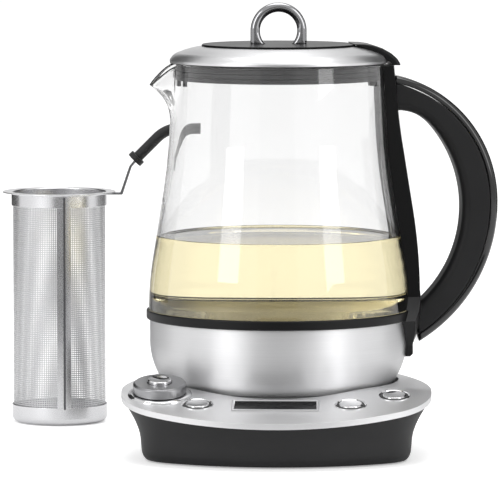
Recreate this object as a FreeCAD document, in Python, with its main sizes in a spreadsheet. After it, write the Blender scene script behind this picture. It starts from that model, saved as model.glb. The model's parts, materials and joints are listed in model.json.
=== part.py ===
import FreeCAD, Part
import math
import os
import Sketcher
from FreeCAD import Placement, Rotation, Vector

# Automatic tea maker: a glass jug on a heated steel bowl, a cordless base with a sloped control
# panel, a lift-off lid and a separate mesh strainer.
# Millimetres. The origin is on the table under the jug's axis, +Z is up, -Y faces the user,
# the handle is towards +X and the spout towards -X.

os.makedirs("parts", exist_ok=True)
doc = FreeCAD.newDocument("tea_maker")

# Driving dimensions

SIZES = {
    # plan of the base: a round seat behind a wider panel
    "widest_y": -55.0,
    "plate_front_y": -107.0,
    "plate_corner_radius": 38.0,
    # heights of the base
    "plate_height": 38.0,
    "panel_bend_y": -50.0,
    "panel_bend_run": 6.5,
    "panel_fall": 0.2186,
    "plate_lip": 3.1,
    "plate_sheet": 1.0,
    "housing_wall": 2.2,
    "housing_deck": 2.0,
    "housing_foot_height": 0.6,
    "housing_foot_inset": 13.4,
    "housing_ankle_height": 3.2,
    "housing_ankle_inset": 11.6,
    "housing_waist_height": 11.0,
    "housing_waist_inset": 10.6,
    "housing_shin_height": 19.5,
    "housing_shin_inset": 8.4,
    "housing_knee_height": 26.5,
    "housing_knee_inset": 4.8,
    "housing_rim_height": 32.5,
    "housing_rim_inset": 1.6,
    "housing_top_height": 38.5,
    "cover_thickness": 2.0,
    "cover_gap": 0.15,
    "cover_height": 1.0,
    "tool_reach": 130.0,
    # seat of the jug
    "seat_floor_height": 34.5,
    "seat_hole_radius": 12.3,
    # connector
    "post_radius": 12.0,
    "post_foot_radius": 18.0,
    "post_foot_top_height": 36.0,
    "post_bottom_height": 26.0,
    "post_shoulder_height": 45.5,
    "post_tip_radius": 9.0,
    "post_top_height": 49.0,
    "post_bore_radius": 2.6,
    "contact_pin_radius": 2.5,
    "contact_pin_top_height": 49.6,
    "contact_ring_radius": 5.6,
    "contact_ring_width": 1.0,
    "contact_ring_height": 0.5,
    "socket_gap": 0.6,
    "socket_wall": 4.6,
    "socket_bottom_height": 37.2,
    "socket_cavity_top_height": 50.3,
    "socket_top_height": 52.0,
    # feet and screws
    "foot_ring_inner": 46.0,
    "foot_ring_outer": 53.0,
    "front_foot_x": 40.0,
    "front_foot_y": -74.0,
    "front_foot_radius": 7.0,
    "screw_radius": 3.2,
    "screw_head": 0.6,
    "screw_length": 7.0,
    "screw_shank_radius": 1.5,
    "screw_circle": 38.0,
    # cord gland at the back
    "gland_height": 15.0,
    "gland_bore_radius": 3.3,
    "gland_radius": 5.2,
    "gland_flange_radius": 7.2,
    "gland_flange": 1.8,
    "gland_length": 12.0,
    "gland_outer_y": 63.2,
    # knob, buttons and display, measured on the sloped panel
    "knob_x": -63.0,
    "knob_y": -60.0,
    "knob_radius": 14.5,
    "knob_bottom": 1.7,
    "knob_top": 7.2,
    "knob_chamfer": 1.0,
    "knob_tube_wall": 1.0,
    "knob_tube_depth": 5.5,
    "knob_ring_radius": 16.3,
    "knob_ring_height": 1.3,
    "knob_ring_skirt_radius": 15.0,
    "start_radius": 6.4,
    "start_proud": 1.9,
    "start_dish": 0.9,
    "start_bottom": 4.9,
    "start_travel_gap": 0.3,
    "cap_radius": 6.4,
    "cap_proud": 1.1,
    "cap_dish": 0.8,
    "cap_skirt": 4.6,
    "cap_stem_radius": 1.8,
    "cap_stem": 7.2,
    "cap_gap": 0.3,
    "bezel_radius": 8.6,
    "bezel_neck_radius": 7.9,
    "bezel_proud": 0.5,
    "bezel_dish": 0.5,
    "bezel_depth": 3.2,
    "left_button_x": -42.0,
    "left_button_y": -76.0,
    "right_button_x": 40.5,
    "right_button_y": -76.0,
    "side_button_x": 64.0,
    "side_button_y": -61.0,
    "lcd_y": -78.0,
    "lcd_length": 47.0,
    "lcd_width": 16.5,
    "lcd_frame": 1.5,
    "lcd_proud": 0.8,
    "lcd_skirt_inset": 0.8,
    "lcd_window_thickness": 2.2,
    "lcd_module_depth": 11.4,
    "hole_clearance": 0.1,
    "board_drop": 12.0,
    "board_thickness": 1.6,
    "board_inset": 17.0,
    "board_rear_y": -50.0,
    "switch_side": 6.0,
    "switch_height": 3.4,
    "switch_stem_radius": 1.7,
    "switch_stem": 0.5,
    "encoder_side": 13.0,
    "encoder_height": 4.4,
    "encoder_neck_radius": 5.4,
    "encoder_neck": 1.2,
    # electronics at the rear
    "power_board_length": 64.0,
    "power_board_width": 34.0,
    "power_board_y": 26.0,
    "board_stand": 5.0,
    "relay_length": 20.0,
    "relay_width": 15.0,
    "relay_height": 15.0,
    # glass jug
    "glass_wall": 2.3,
    "glass_bottom_height": 73.2,
    "glass_swell_height": 77.6,
    "shoulder_height": 104.0,
    "shoulder_arc": 171.0,
    "taper_height": 142.0,
    "neck_height": 184.0,
    "neck_arc": 330.0,
    "rim_height": 212.8,
    # spout: U sections fanned round a line in front of the neck
    "spout_turn_height": 188.3,
    "spout_turn_radius": 12.0,
    "spout_root_width": 21.0,
    "spout_middle_width": 15.5,
    "spout_throat_width": 10.5,
    "spout_tip_width": 6.6,
    "spout_depth": 46.0,
    "spout_tip_height": 200.9,
    "spout_lip_arc": 24.5,
    # steel bowl and what it holds
    "bowl_radius": 71.0,
    "bowl_top_height": 72.0,
    "bowl_belly_height": 60.0,
    "bowl_belly_arc": 39.5,
    "bowl_bottom_height": 34.9,
    "bowl_sheet": 1.0,
    "trim_top_height": 77.2,
    "trim_gap": 0.1,
    "pan_sheet": 1.2,
    "pan_floor_height": 65.0,
    "pan_flange_height": 70.0,
    "pan_top_height": 75.5,
    "spreader_thickness": 4.0,
    "element_circle": 45.0,
    "element_radius": 3.4,
    "element_angle": 300.0,
    "sensor_y": -24.0,
    "sensor_radius": 3.5,
    "sensor_height": 4.0,
    "thermostat_radius": 17.0,
    "thermostat_bottom_height": 52.4,
    "jug_cover_thickness": 2.0,
    "jug_cover_rim": 4.5,
    "jug_cover_hole": 18.0,
    "jug_foot_inner": 50.5,
    "jug_foot_outer": 54.5,
    "jug_foot_height": 34.8,
    # handle
    "jug_turn": 7.0,
    "strap_bottom_height": 51.0,
    "strap_top_height": 211.2,
    "strap_foot_height": 58.0,
    "strap_low_height": 88.0,
    "strap_middle_height": 131.0,
    "strap_waist_height": 164.0,
    "strap_upper_height": 186.0,
    "strap_low_arc": 62.0,
    "strap_belly_arc": 300.0,
    "strap_upper_arc": 330.0,
    "strap_gap": 0.15,
    "strap_angle": 64.0,
    "strap_half_width": 14.5,
    "shield_half_width": 29.0,
    "shield_top_height": 78.0,
    "shield_low_half_width": 17.0,
    "shield_corner": 6.0,
    "grip_top_height": 205.8,
    "grip_inner_top_height": 186.6,
    "grip_elbow_height": 178.3,
    "grip_elbow_arc": 25.0,
    "grip_inner_arc": 69.3,
    "grip_inner_low_height": 80.2,
    "grip_low_height": 58.6,
    "grip_peak_height": 135.5,
    "grip_upper_arc": 71.5,
    "grip_lower_arc": 88.5,
    "grip_skin": 4.3,
    "grip_thickness": 21.0,
    "grip_round": 4.6,
    "grip_skin_round": 2.6,
    # lid
    "dome_sheet": 0.8,
    "dome_bottom_height": 213.3,
    "dome_edge_height": 214.6,
    "dome_knee_height": 219.0,
    "dome_knee_arc": 8.0,
    "dome_crown_height": 222.0,
    "dome_crown_arc": 44.0,
    "dome_hole_radius": 8.0,
    "disc_thickness": 1.2,
    "disc_edge": 0.4,
    "ring_radius": 12.8,
    "ring_tube": 2.7,
    "ring_centre_height": 230.5,
    "ring_nut_radius": 3.6,
    "ring_nut_height": 2.4,
    "cap_top_height": 223.4,
    "cap_knee_height": 222.2,
    "cap_side_height": 214.6,
    "cap_bottom_height": 211.8,
    "cap_half_width": 16.0,
    "cap_corner_arc": 13.0,
    "collar_wall": 2.3,
    "collar_bottom_height": 203.6,
    "collar_top_height": 214.5,
    "collar_rib": 0.5,
    "collar_rib_pitch": 2.6,
    "collar_lug_width": 8.0,
    "collar_lug_height": 3.6,
    "collar_lug_depth": 4.4,
    "seal_bottom_height": 213.1,
    "seal_thickness": 0.8,
    # how far other pieces of the jug stand in or out from the bowl, the glass or the lid
    "trim_step": 1.9,
    "glass_step": 0.7,
    "pan_step": 3.0,
    "spreader_step": 13.0,
    "shoulder_step": 2.1,
    "taper_step": 8.2,
    "neck_step": 12.1,
    "rim_step": 13.5,
    "foot_step": 9.0,
    "shelf_width": 6.0,
    "cover_step": 1.4,
    "seat_step": 4.5,
    "rear_step": 0.0,
    "side_step": 13.2,
    "strap_foot_step": 3.5,
    "strap_low_step": 7.2,
    "strap_middle_step": 3.5,
    "strap_waist_step": 1.8,
    "strap_upper_step": 7.9,
    "strap_top_step": 5.5,
    "grip_top_step": 7.0,
    "grip_inner_top_step": 6.8,
    "grip_elbow_step": 13.0,
    "grip_inner_low_step": 6.4,
    "grip_low_step": 4.4,
    "grip_reach": 50.0,
    "dome_step": 1.7,
    "dome_knee_step": 5.4,
    "dome_crown_step": 16.9,
    "disc_step": 17.6,
    "cap_outer_step": 6.0,
    "cap_inner_step": 13.9,
    "cap_knee_step": 4.6,
    "collar_gap": 1.0,
    "spout_turn_step": 10.7,
    "spout_tip_step": 13.0,
    "spout_lip_step": 5.6,
    # strainer
    "strainer_x": -128.6,
    "strainer_y": 116.0,
    "strainer_radius": 27.4,
    "strainer_sheet": 0.6,
    "strainer_cup_height": 10.4,
    "strainer_round": 4.0,
    "strainer_lap": 1.6,
    "strainer_band_height": 125.0,
    "strainer_top_height": 133.0,
    "strainer_flange_radius": 32.4,
    "seam_width_angle": 16.5,
    "seam_turn_angle": -81.0,
    "seam_thickness": 0.4,
    "mesh_window": 10.6,
    "mesh_bar": 2.6,
    "strip_width": 7.0,
    "strip_thickness": 1.2,
    "strip_out_x": 36.6,
    "strip_low_height": 132.4,
    "strip_high_x": 40.6,
    "strip_high_height": 147.0,
    "strip_end_x": 45.2,
    "strip_end_height": 152.2,
    "grip_start_x": 43.4,
    "grip_start_height": 150.8,
    "grip_bend_x": 56.4,
    "grip_bend_height": 163.8,
    "grip_bend_arc": 19.1,
    "grip_flat_x": 69.9,
    "grip_flat_height": 169.4,
    "grip_end_x": 76.6,
    "grip_tube": 3.1,
    "grip_collar_radius": 4.7,
    "grip_collar_length": 2.2,
}

# Sizes that follow others, so that the pieces keep together when one of them changes
TIED = {
    "trim_radius": "bowl_radius + trim_step",
    "trim_inner": "bowl_radius - bowl_sheet",
    "glass_bottom_radius": "bowl_radius + glass_step",
    "pan_radius": "bowl_radius - pan_step",
    "pan_flange_radius": "bowl_radius - bowl_sheet - trim_gap",
    "gasket_radius": "bowl_radius - bowl_sheet - trim_gap",
    "spreader_radius": "bowl_radius - spreader_step",
    "shoulder_radius": "glass_bottom_radius - shoulder_step",
    "taper_radius": "glass_bottom_radius - taper_step",
    "neck_radius": "glass_bottom_radius - neck_step",
    "rim_radius": "glass_bottom_radius - rim_step",
    "bowl_foot_radius": "bowl_radius - foot_step",
    "bowl_hole_radius": "bowl_foot_radius - shelf_width",
    "jug_cover_radius": "bowl_foot_radius - cover_step",
    "seat_radius": "bowl_foot_radius + seat_step",
    "plate_rear_radius": "bowl_radius + rear_step",
    "plate_half_width": "plate_rear_radius + side_step",
    "strap_foot_radius": "bowl_radius + strap_foot_step",
    "strap_low_radius": "bowl_radius + strap_low_step",
    "strap_middle_radius": "bowl_radius + strap_middle_step",
    "strap_waist_radius": "bowl_radius - strap_waist_step",
    "strap_upper_radius": "rim_radius + strap_upper_step",
    "strap_top_radius": "rim_radius + strap_top_step",
    "grip_top_x": "rim_radius + grip_top_step",
    "grip_inner_top_x": "rim_radius + grip_inner_top_step",
    "grip_elbow_x": "bowl_radius + grip_elbow_step",
    "grip_inner_low_x": "bowl_radius + grip_inner_low_step",
    "grip_low_x": "bowl_radius + grip_low_step",
    "grip_peak_x": "bowl_radius + grip_reach",
    "dome_radius": "rim_radius + dome_step",
    "dome_knee_radius": "dome_radius - dome_knee_step",
    "dome_crown_radius": "dome_radius - dome_crown_step",
    "disc_radius": "dome_radius - disc_step",
    "cap_outer_x": "dome_radius + cap_outer_step",
    "cap_inner_x": "dome_radius - cap_inner_step",
    "cap_knee_x": "dome_radius - cap_knee_step",
    "collar_radius": "rim_radius - glass_wall - collar_gap",
    "seal_radius": "rim_radius + trim_gap",
    "spout_turn_x": "-1*neck_radius - spout_turn_step",
    "spout_tip_x": "-1*rim_radius - spout_tip_step",
    "spout_lip_x": "-1*rim_radius + spout_lip_step",
}

sheet = doc.addObject("Spreadsheet::Sheet", "sizes")
for row, (alias, number) in enumerate(SIZES.items(), start=1):
    sheet.set("A%d" % row, alias)
    sheet.set("B%d" % row, str(number))
    sheet.setAlias("B%d" % row, alias)
doc.recompute()


def value_of(text):
    """Number that a sum of sizes, such as 'bowl_radius - 2*bowl_sheet', comes to."""
    total = 0.0
    sign = 1.0
    for word in text.split():
        if word in ("+", "-"):
            sign = 1.0 if word == "+" else -1.0
            continue
        product = sign
        for factor in word.split("*"):
            if factor in TIED:
                product *= value_of(TIED[factor])
            else:
                product *= SIZES[factor] if factor in SIZES else float(factor)
        total += product
        sign = 1.0
    return total


def formula(text):
    """The same sum as an expression on the sheet's cells."""
    words = []
    for word in text.split():
        factors = []
        for factor in word.split("*"):
            if factor in TIED:
                factors.append("(%s)" % formula(TIED[factor]))
            else:
                factors.append("sizes." + factor if factor in SIZES else factor)
        words.append(" * ".join(factors))
    return " ".join(words)


def names_a_size(text):
    return any(word in SIZES or word in TIED for word in text.replace("*", " ").split())


def less(text):
    """The same sum with its signs turned, to follow another sum."""
    turned = text.replace(" + ", " ~ ").replace(" - ", " + ").replace(" ~ ", " - ")
    return " - " + turned


def bind(feature, path, text):
    feature.setExpression(path, formula(text))


# Sketches

def new_body(name):
    body = doc.addObject("PartDesign::Body", name)
    body.Label = name
    return body


def origin_plane(body, role):
    for feature in body.Origin.OriginFeatures:
        if feature.Role == role:
            return feature
    raise ValueError(role)


def new_sketch(body, name, plane, height="0"):
    """Sketch on one of the body's origin planes, lifted along the plane's normal."""
    sketch = body.newObject("Sketcher::SketchObject", name)
    sketch.AttachmentSupport = (origin_plane(body, plane), [""])
    sketch.MapMode = "FlatFace"
    if height != "0":
        sketch.AttachmentOffset = Placement(Vector(0, 0, value_of(height)), Rotation())
        bind(sketch, "AttachmentOffset.Base.z", height)
    return sketch


def arc_between(start, end, radius):
    """Short arc from start to end: centre on the left for a positive radius, else on the right."""
    chord = end - start
    half = chord.Length / 2
    left = Vector(-chord.y, chord.x, 0).normalize()
    reach = math.sqrt(max(radius * radius - half * half, 0.0))
    side = 1.0 if radius > 0 else -1.0
    centre = (start + end) * 0.5 + left * (reach * side)
    first, last = (start, end) if radius > 0 else (end, start)
    angle_0 = math.atan2(first.y - centre.y, first.x - centre.x)
    angle_1 = math.atan2(last.y - centre.y, last.x - centre.x)
    if angle_1 < angle_0:
        angle_1 += 2 * math.pi
    circle = Part.Circle(centre, Vector(0, 0, 1), abs(radius))
    return Part.ArcOfCircle(circle, angle_0, angle_1)


def add_constraints(sketch, rows):
    """Adds rows of (constraint, text), and ties each text to the sheet."""
    first = sketch.ConstraintCount
    sketch.addConstraint([constraint for constraint, text in rows])
    for offset, (constraint, text) in enumerate(rows):
        if text and names_a_size(text):
            bind(sketch, "Constraints[%d]" % (first + offset), text)


def place_point(rows, geometry, position, x_text, y_text):
    """Holds a point of the sketch at x, y measured from the origin."""
    if x_text == "0":
        rows.append((Sketcher.Constraint("PointOnObject", geometry, position, -2), None))
    else:
        rows.append((Sketcher.Constraint("DistanceX", -1, 1, geometry, position, value_of(x_text)), x_text))
    if y_text == "0":
        rows.append((Sketcher.Constraint("PointOnObject", geometry, position, -1), None))
    else:
        rows.append((Sketcher.Constraint("DistanceY", -1, 1, geometry, position, value_of(y_text)), y_text))


def draw_path(sketch, points, closed=True):
    """Outline through points (x, y). A third text is the radius of the arc that leads to the point:
    plain for a centre on the left of the way, with a leading 'right' for one on the right."""
    corners = [Vector(value_of(point[0]), value_of(point[1]), 0) for point in points]
    first_geometry = sketch.GeometryCount
    shapes = []
    ends = []
    rows = []
    start_index = 0 if closed else 1
    for index in range(start_index, len(points)):
        start = corners[index - 1]
        end = corners[index]
        geometry = first_geometry + len(shapes)
        if len(points[index]) == 2:
            shapes.append(Part.LineSegment(start, end))
            ends.append((geometry, 1, 2))
        else:
            text = points[index][2]
            to_right = text.startswith("right ")
            text = text.replace("right ", "")
            radius = value_of(text)
            shapes.append(arc_between(start, end, -radius if to_right else radius))
            ends.append((geometry, 2, 1) if to_right else (geometry, 1, 2))
            rows.append((Sketcher.Constraint("Radius", geometry, radius), text))
    sketch.addGeometry(shapes)
    if not closed:
        place_point(rows, ends[0][0], ends[0][1], points[0][0], points[0][1])
    for number, (geometry, start_end, far_end) in enumerate(ends):
        point = points[start_index + number]
        place_point(rows, geometry, far_end, point[0], point[1])
        if number + 1 < len(ends) or closed:
            follower = ends[(number + 1) % len(ends)]
            joint = Sketcher.Constraint("Coincident", geometry, far_end, follower[0], follower[1])
            rows.append((joint, None))
    add_constraints(sketch, rows)


def draw_rectangle(sketch, x_0, y_0, x_1, y_1):
    draw_path(sketch, [(x_0, y_0), (x_1, y_0), (x_1, y_1), (x_0, y_1)])


def draw_circle(sketch, x_text, y_text, radius_text):
    geometry = sketch.GeometryCount
    centre = Vector(value_of(x_text), value_of(y_text), 0)
    sketch.addGeometry(Part.Circle(centre, Vector(0, 0, 1), value_of(radius_text)))
    rows = []
    if x_text == "0" and y_text == "0":
        rows.append((Sketcher.Constraint("Coincident", geometry, 3, -1, 1), None))
    else:
        place_point(rows, geometry, 3, x_text, y_text)
    rows.append((Sketcher.Constraint("Radius", geometry, value_of(radius_text)), radius_text))
    add_constraints(sketch, rows)


# Features

def revolve(body, points, name="profile", kind="Revolution", angle=None, plane="XZ_Plane"):
    """Turns an outline of (radius, height) points about the body's Z axis."""
    sketch = new_sketch(body, name, plane)
    draw_path(sketch, points)
    feature = body.newObject("PartDesign::" + kind, name + "_" + kind.lower())
    feature.Profile = sketch
    feature.ReferenceAxis = (sketch, ["V_Axis"])
    feature.Angle = 360
    if angle:
        feature.Midplane = True
        feature.Angle = value_of(angle)
        bind(feature, "Angle", angle)
    body.Tip = feature
    return feature


def turn_away(body, sketch):
    """Cuts away what the sketch sweeps in a full turn about the body's Z axis."""
    feature = body.newObject("PartDesign::Groove", sketch.Name + "_groove")
    feature.Profile = sketch
    feature.ReferenceAxis = (sketch, ["V_Axis"])
    feature.Angle = 360
    body.Tip = feature
    return feature


def extrude(body, sketch, length, kind="Pad", symmetric=False, turned=False):
    feature = body.newObject("PartDesign::" + kind, sketch.Name + "_" + kind.lower())
    feature.Profile = sketch
    feature.Length = value_of(length)
    bind(feature, "Length", length)
    if symmetric:
        feature.SideType = "Symmetric"
    feature.Reversed = turned
    body.Tip = feature
    return feature


def cut_through(body, sketch, turned=False, both_ways=False):
    feature = body.newObject("PartDesign::Pocket", sketch.Name + "_pocket")
    feature.Profile = sketch
    feature.Type = "ThroughAll"
    if both_ways:
        feature.SideType = "Symmetric"
    feature.Reversed = turned
    body.Tip = feature
    return feature


def round_edges(body, radius, wanted):
    """Fillets the edges of the body's last feature that wanted(edge) picks."""
    doc.recompute()
    base = body.Tip
    names = ["Edge%d" % (number + 1) for number, edge in enumerate(base.Shape.Edges) if wanted(edge)]
    if not names:
        raise ValueError("no edges to round on " + body.Label)
    feature = body.newObject("PartDesign::Fillet", body.Name + "_round")
    feature.Base = (base, names)
    feature.Radius = value_of(radius)
    bind(feature, "Radius", radius)
    body.Tip = feature
    return feature


def arcs_of(*radii):
    """Picks the arcs that have one of these radii."""
    wanted = [value_of(radius) for radius in radii]

    def check(edge):
        if not isinstance(edge.Curve, Part.Circle):
            return False
        return min(abs(edge.Curve.Radius - radius) for radius in wanted) < 0.001

    return check


def sweep(body, path, radius, name="bar"):
    """Round bar of this radius along an open path of (x, z) points in the body's XZ plane."""
    route = new_sketch(body, name + "_route", "XZ_Plane")
    draw_path(route, path, closed=False)
    doc.recompute()
    section = body.newObject("Sketcher::SketchObject", name + "_section")
    section.AttachmentSupport = (route, ["Edge1"])
    section.MapMode = "NormalToEdge"
    draw_circle(section, "0", "0", radius)
    feature = body.newObject("PartDesign::AdditivePipe", name)
    feature.Profile = section
    feature.Spine = (route, ["Edge%d" % (number + 1) for number in range(route.GeometryCount)])
    feature.Transition = "Transformed"
    body.Tip = feature
    return feature


def combine(kind, name, *shapes):
    """Part boolean of whole objects: Cut takes the rest away from the first."""
    if kind == "Cut":
        result = shapes[0]
        for number, tool in enumerate(shapes[1:]):
            step = doc.addObject("Part::Cut", "%s_cut_%d" % (name, number))
            step.Base = result
            step.Tool = tool
            result = step
    else:
        result = doc.addObject("Part::Multi" + kind, name + "_" + kind.lower())
        result.Shapes = list(shapes)
    result.Label = name
    return result


def cylinder(name, radius, height, x="0", y="0", z="0"):
    solid = doc.addObject("Part::Cylinder", name)
    bind(solid, "Radius", radius)
    bind(solid, "Height", height)
    put(solid, x, y, z)
    return solid


def box(name, length, width, height, x, y, z):
    """Block centred on x and y, standing on z."""
    solid = doc.addObject("Part::Box", name)
    bind(solid, "Length", length)
    bind(solid, "Width", width)
    bind(solid, "Height", height)
    put(solid, x + " - 0.5*" + length, y + " - 0.5*" + width, z)
    return solid


def put(thing, x, y, z):
    for axis, text in (("x", x), ("y", y), ("z", z)):
        bind(thing, "Placement.Base." + axis, text)


PANEL_Z = "plate_height - panel_fall*panel_bend_y + panel_fall*"


def put_on_panel(thing, x, y, lift="0"):
    """Stands a thing made round its own Z axis on the sloped panel, square to it."""
    slope = math.degrees(math.atan(SIZES["panel_fall"]))
    thing.Placement = Placement(Vector(), Rotation(Vector(1, 0, 0), slope))
    thing.setExpression("Placement.Rotation.Angle", "atan(sizes.panel_fall)")
    thing.setExpression("Placement.Base.x", formula(x))
    thing.setExpression("Placement.Base.y", formula(y) + " - (" + formula(lift) + ") * sin(atan(sizes.panel_fall))")
    height = formula(PANEL_Z + y) + " + (" + formula(lift) + ") * cos(atan(sizes.panel_fall))"
    thing.setExpression("Placement.Base.z", height)


def turn_with_jug(*things):
    """Turns what belongs to the jug by the angle at which it stands on the base."""
    for thing in things:
        thing.Placement = Placement(Vector(), Rotation(Vector(0, 0, 1), SIZES["jug_turn"]))
        thing.setExpression("Placement.Rotation.Angle", "sizes.jug_turn")


pieces = {}


def keep(name, shape):
    """Registers a finished sub-part under its own name."""
    shape.Label = name
    pieces[name] = shape
    return shape


# Plan of the base: front arc, two corner arcs, two side arcs and the round back, all tangent

FRONT_ARC = (
    "((%s)^2 + (sizes.widest_y - sizes.plate_front_y)^2 - sizes.plate_corner_radius^2)"
    " / (2 * (sizes.widest_y - sizes.plate_front_y - sizes.plate_corner_radius))"
) % formula("plate_half_width - plate_corner_radius")


def draw_plan(sketch, inset):
    """Plan outline of the base, drawn parallel to the plate's edge at this inset."""
    half = value_of("plate_half_width")
    wide_y = SIZES["widest_y"]
    corner = SIZES["plate_corner_radius"]
    rear = value_of("plate_rear_radius")
    depth = wide_y - SIZES["plate_front_y"]
    front = ((half - corner) ** 2 + depth ** 2 - corner ** 2) / (2 * (depth - corner))
    side = (half ** 2 + wide_y ** 2 - rear ** 2) / (2 * (half - rear))
    in_by = value_of(inset)
    front_centre = Vector(0, SIZES["plate_front_y"] + front, 0)
    corner_centre = Vector(half - corner, wide_y, 0)
    side_centre = Vector(half - side, wide_y, 0)
    to_corner = (corner_centre - front_centre).normalize()
    corner_turn = math.atan2(to_corner.y, to_corner.x)
    rear_turn = math.atan2(-side_centre.y, -side_centre.x)
    up = Vector(0, 0, 1)

    def arc(centre, radius, start, end):
        return Part.ArcOfCircle(Part.Circle(centre, up, radius - in_by), start, end)

    mirror_corner = Vector(-corner_centre.x, corner_centre.y, 0)
    mirror_side = Vector(-side_centre.x, side_centre.y, 0)
    sketch.addGeometry([
        arc(front_centre, front, -math.pi - corner_turn, corner_turn),
        arc(corner_centre, corner, corner_turn, 0),
        arc(side_centre, side, 0, rear_turn),
        arc(Vector(), rear, rear_turn, math.pi - rear_turn),
        arc(mirror_side, side, math.pi - rear_turn, math.pi),
        arc(mirror_corner, corner, math.pi, math.pi - corner_turn),
    ])
    rows = []
    for index in range(6):
        rows.append((Sketcher.Constraint("Tangent", index, 2, (index + 1) % 6, 1), None))
    rows.append((Sketcher.Constraint("Coincident", 3, 3, -1, 1), None))
    place_point(rows, 1, 2, "plate_half_width" + less(inset), "widest_y")
    place_point(rows, 5, 1, "-1*plate_half_width + " + inset, "widest_y")
    for corner_arc in (1, 5):
        rows.append((Sketcher.Constraint("DistanceY", -1, 1, corner_arc, 3, wide_y), "widest_y"))
        text = "plate_corner_radius" + less(inset)
        rows.append((Sketcher.Constraint("Radius", corner_arc, value_of(text)), text))
    text = "plate_rear_radius" + less(inset)
    rows.append((Sketcher.Constraint("Radius", 3, value_of(text)), text))
    add_constraints(sketch, rows)
    front_row = sketch.ConstraintCount
    sketch.addConstraint(Sketcher.Constraint("Radius", 0, front - in_by))
    sketch.setExpression("Constraints[%d]" % front_row, FRONT_ARC + " - (" + formula(inset) + ")")


def plan_prism(name, inset, bottom, height):
    """Upright block with the base's plan."""
    body = new_body(name)
    sketch = new_sketch(body, name + "_plan", "XY_Plane", bottom)
    draw_plan(sketch, inset)
    extrude(body, sketch, height)
    return body


def below_panel(name, drop):
    """Everything under the panel's surface when that is lowered by drop."""
    body = new_body(name)
    sketch = new_sketch(body, name + "_side", "YZ_Plane")
    draw_bent(sketch, "plate_height" + less(drop), math.atan(SIZES["panel_fall"]))
    extrude(body, sketch, "2*tool_reach", symmetric=True)
    return body


def draw_bent(sketch, level, angle):
    """Side outline of the plate: level at the back, falling to the front past a soft bend."""
    bend_arc = SIZES["panel_bend_run"] / math.tan(angle / 2)
    corners = [
        ("-1*tool_reach", "-1*plate_height"),
        ("tool_reach", "-1*plate_height"),
        ("tool_reach", level),
        ("panel_bend_y + panel_bend_run", level),
        ("panel_bend_y - panel_bend_run", level + " - panel_fall*panel_bend_run"),
        ("-1*tool_reach", level + " - panel_fall*panel_bend_y - panel_fall*tool_reach"),
    ]
    points = [Vector(value_of(x), value_of(y), 0) for x, y in corners]
    shapes = []
    for index in range(len(points)):
        if index == 4:
            shapes.append(arc_between(points[3], points[4], bend_arc))
        else:
            shapes.append(Part.LineSegment(points[index - 1], points[index]))
    sketch.addGeometry(shapes)
    rows = []
    for index, (x_text, y_text) in enumerate(corners):
        place_point(rows, index, 2, x_text, y_text)
        rows.append((Sketcher.Constraint("Coincident", index, 2, (index + 1) % len(corners), 1), None))
    add_constraints(sketch, rows)
    count = sketch.ConstraintCount
    sketch.addConstraint(Sketcher.Constraint("Radius", 4, bend_arc))
    sketch.setExpression("Constraints[%d]" % count, "sizes.panel_bend_run / tan(atan(sizes.panel_fall) / 2)")


# Base: openings in the panel, shared by the plate and the housing's deck

def panel_openings():
    tools = []
    places = [("knob_x", "knob_y", "knob_ring_skirt_radius + hole_clearance")]
    for side in ("left", "right", "side"):
        places.append((side + "_button_x", side + "_button_y", "bezel_neck_radius + hole_clearance"))
    for number, (x, y, radius) in enumerate(places):
        tool = doc.addObject("Part::Cylinder", "panel_hole_%d" % number)
        bind(tool, "Radius", radius)
        bind(tool, "Height", "board_drop")
        put_on_panel(tool, x, y, "-0.6*board_drop")
        tools.append(tool)
    window = new_body("panel_hole_lcd")
    sketch = new_sketch(window, "lcd_hole", "XY_Plane")
    half_x = "0.5*lcd_length - lcd_skirt_inset + hole_clearance"
    half_y = "0.5*lcd_width - lcd_skirt_inset + hole_clearance"
    minus_x = "-0.5*lcd_length + lcd_skirt_inset - hole_clearance"
    minus_y = "-0.5*lcd_width + lcd_skirt_inset - hole_clearance"
    draw_rectangle(sketch, minus_x, minus_y, half_x, half_y)
    extrude(window, sketch, "board_drop", symmetric=True)
    put_on_panel(window, "0", "lcd_y")
    tools.append(window)
    return combine("Fuse", "panel_openings", *tools)


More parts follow.
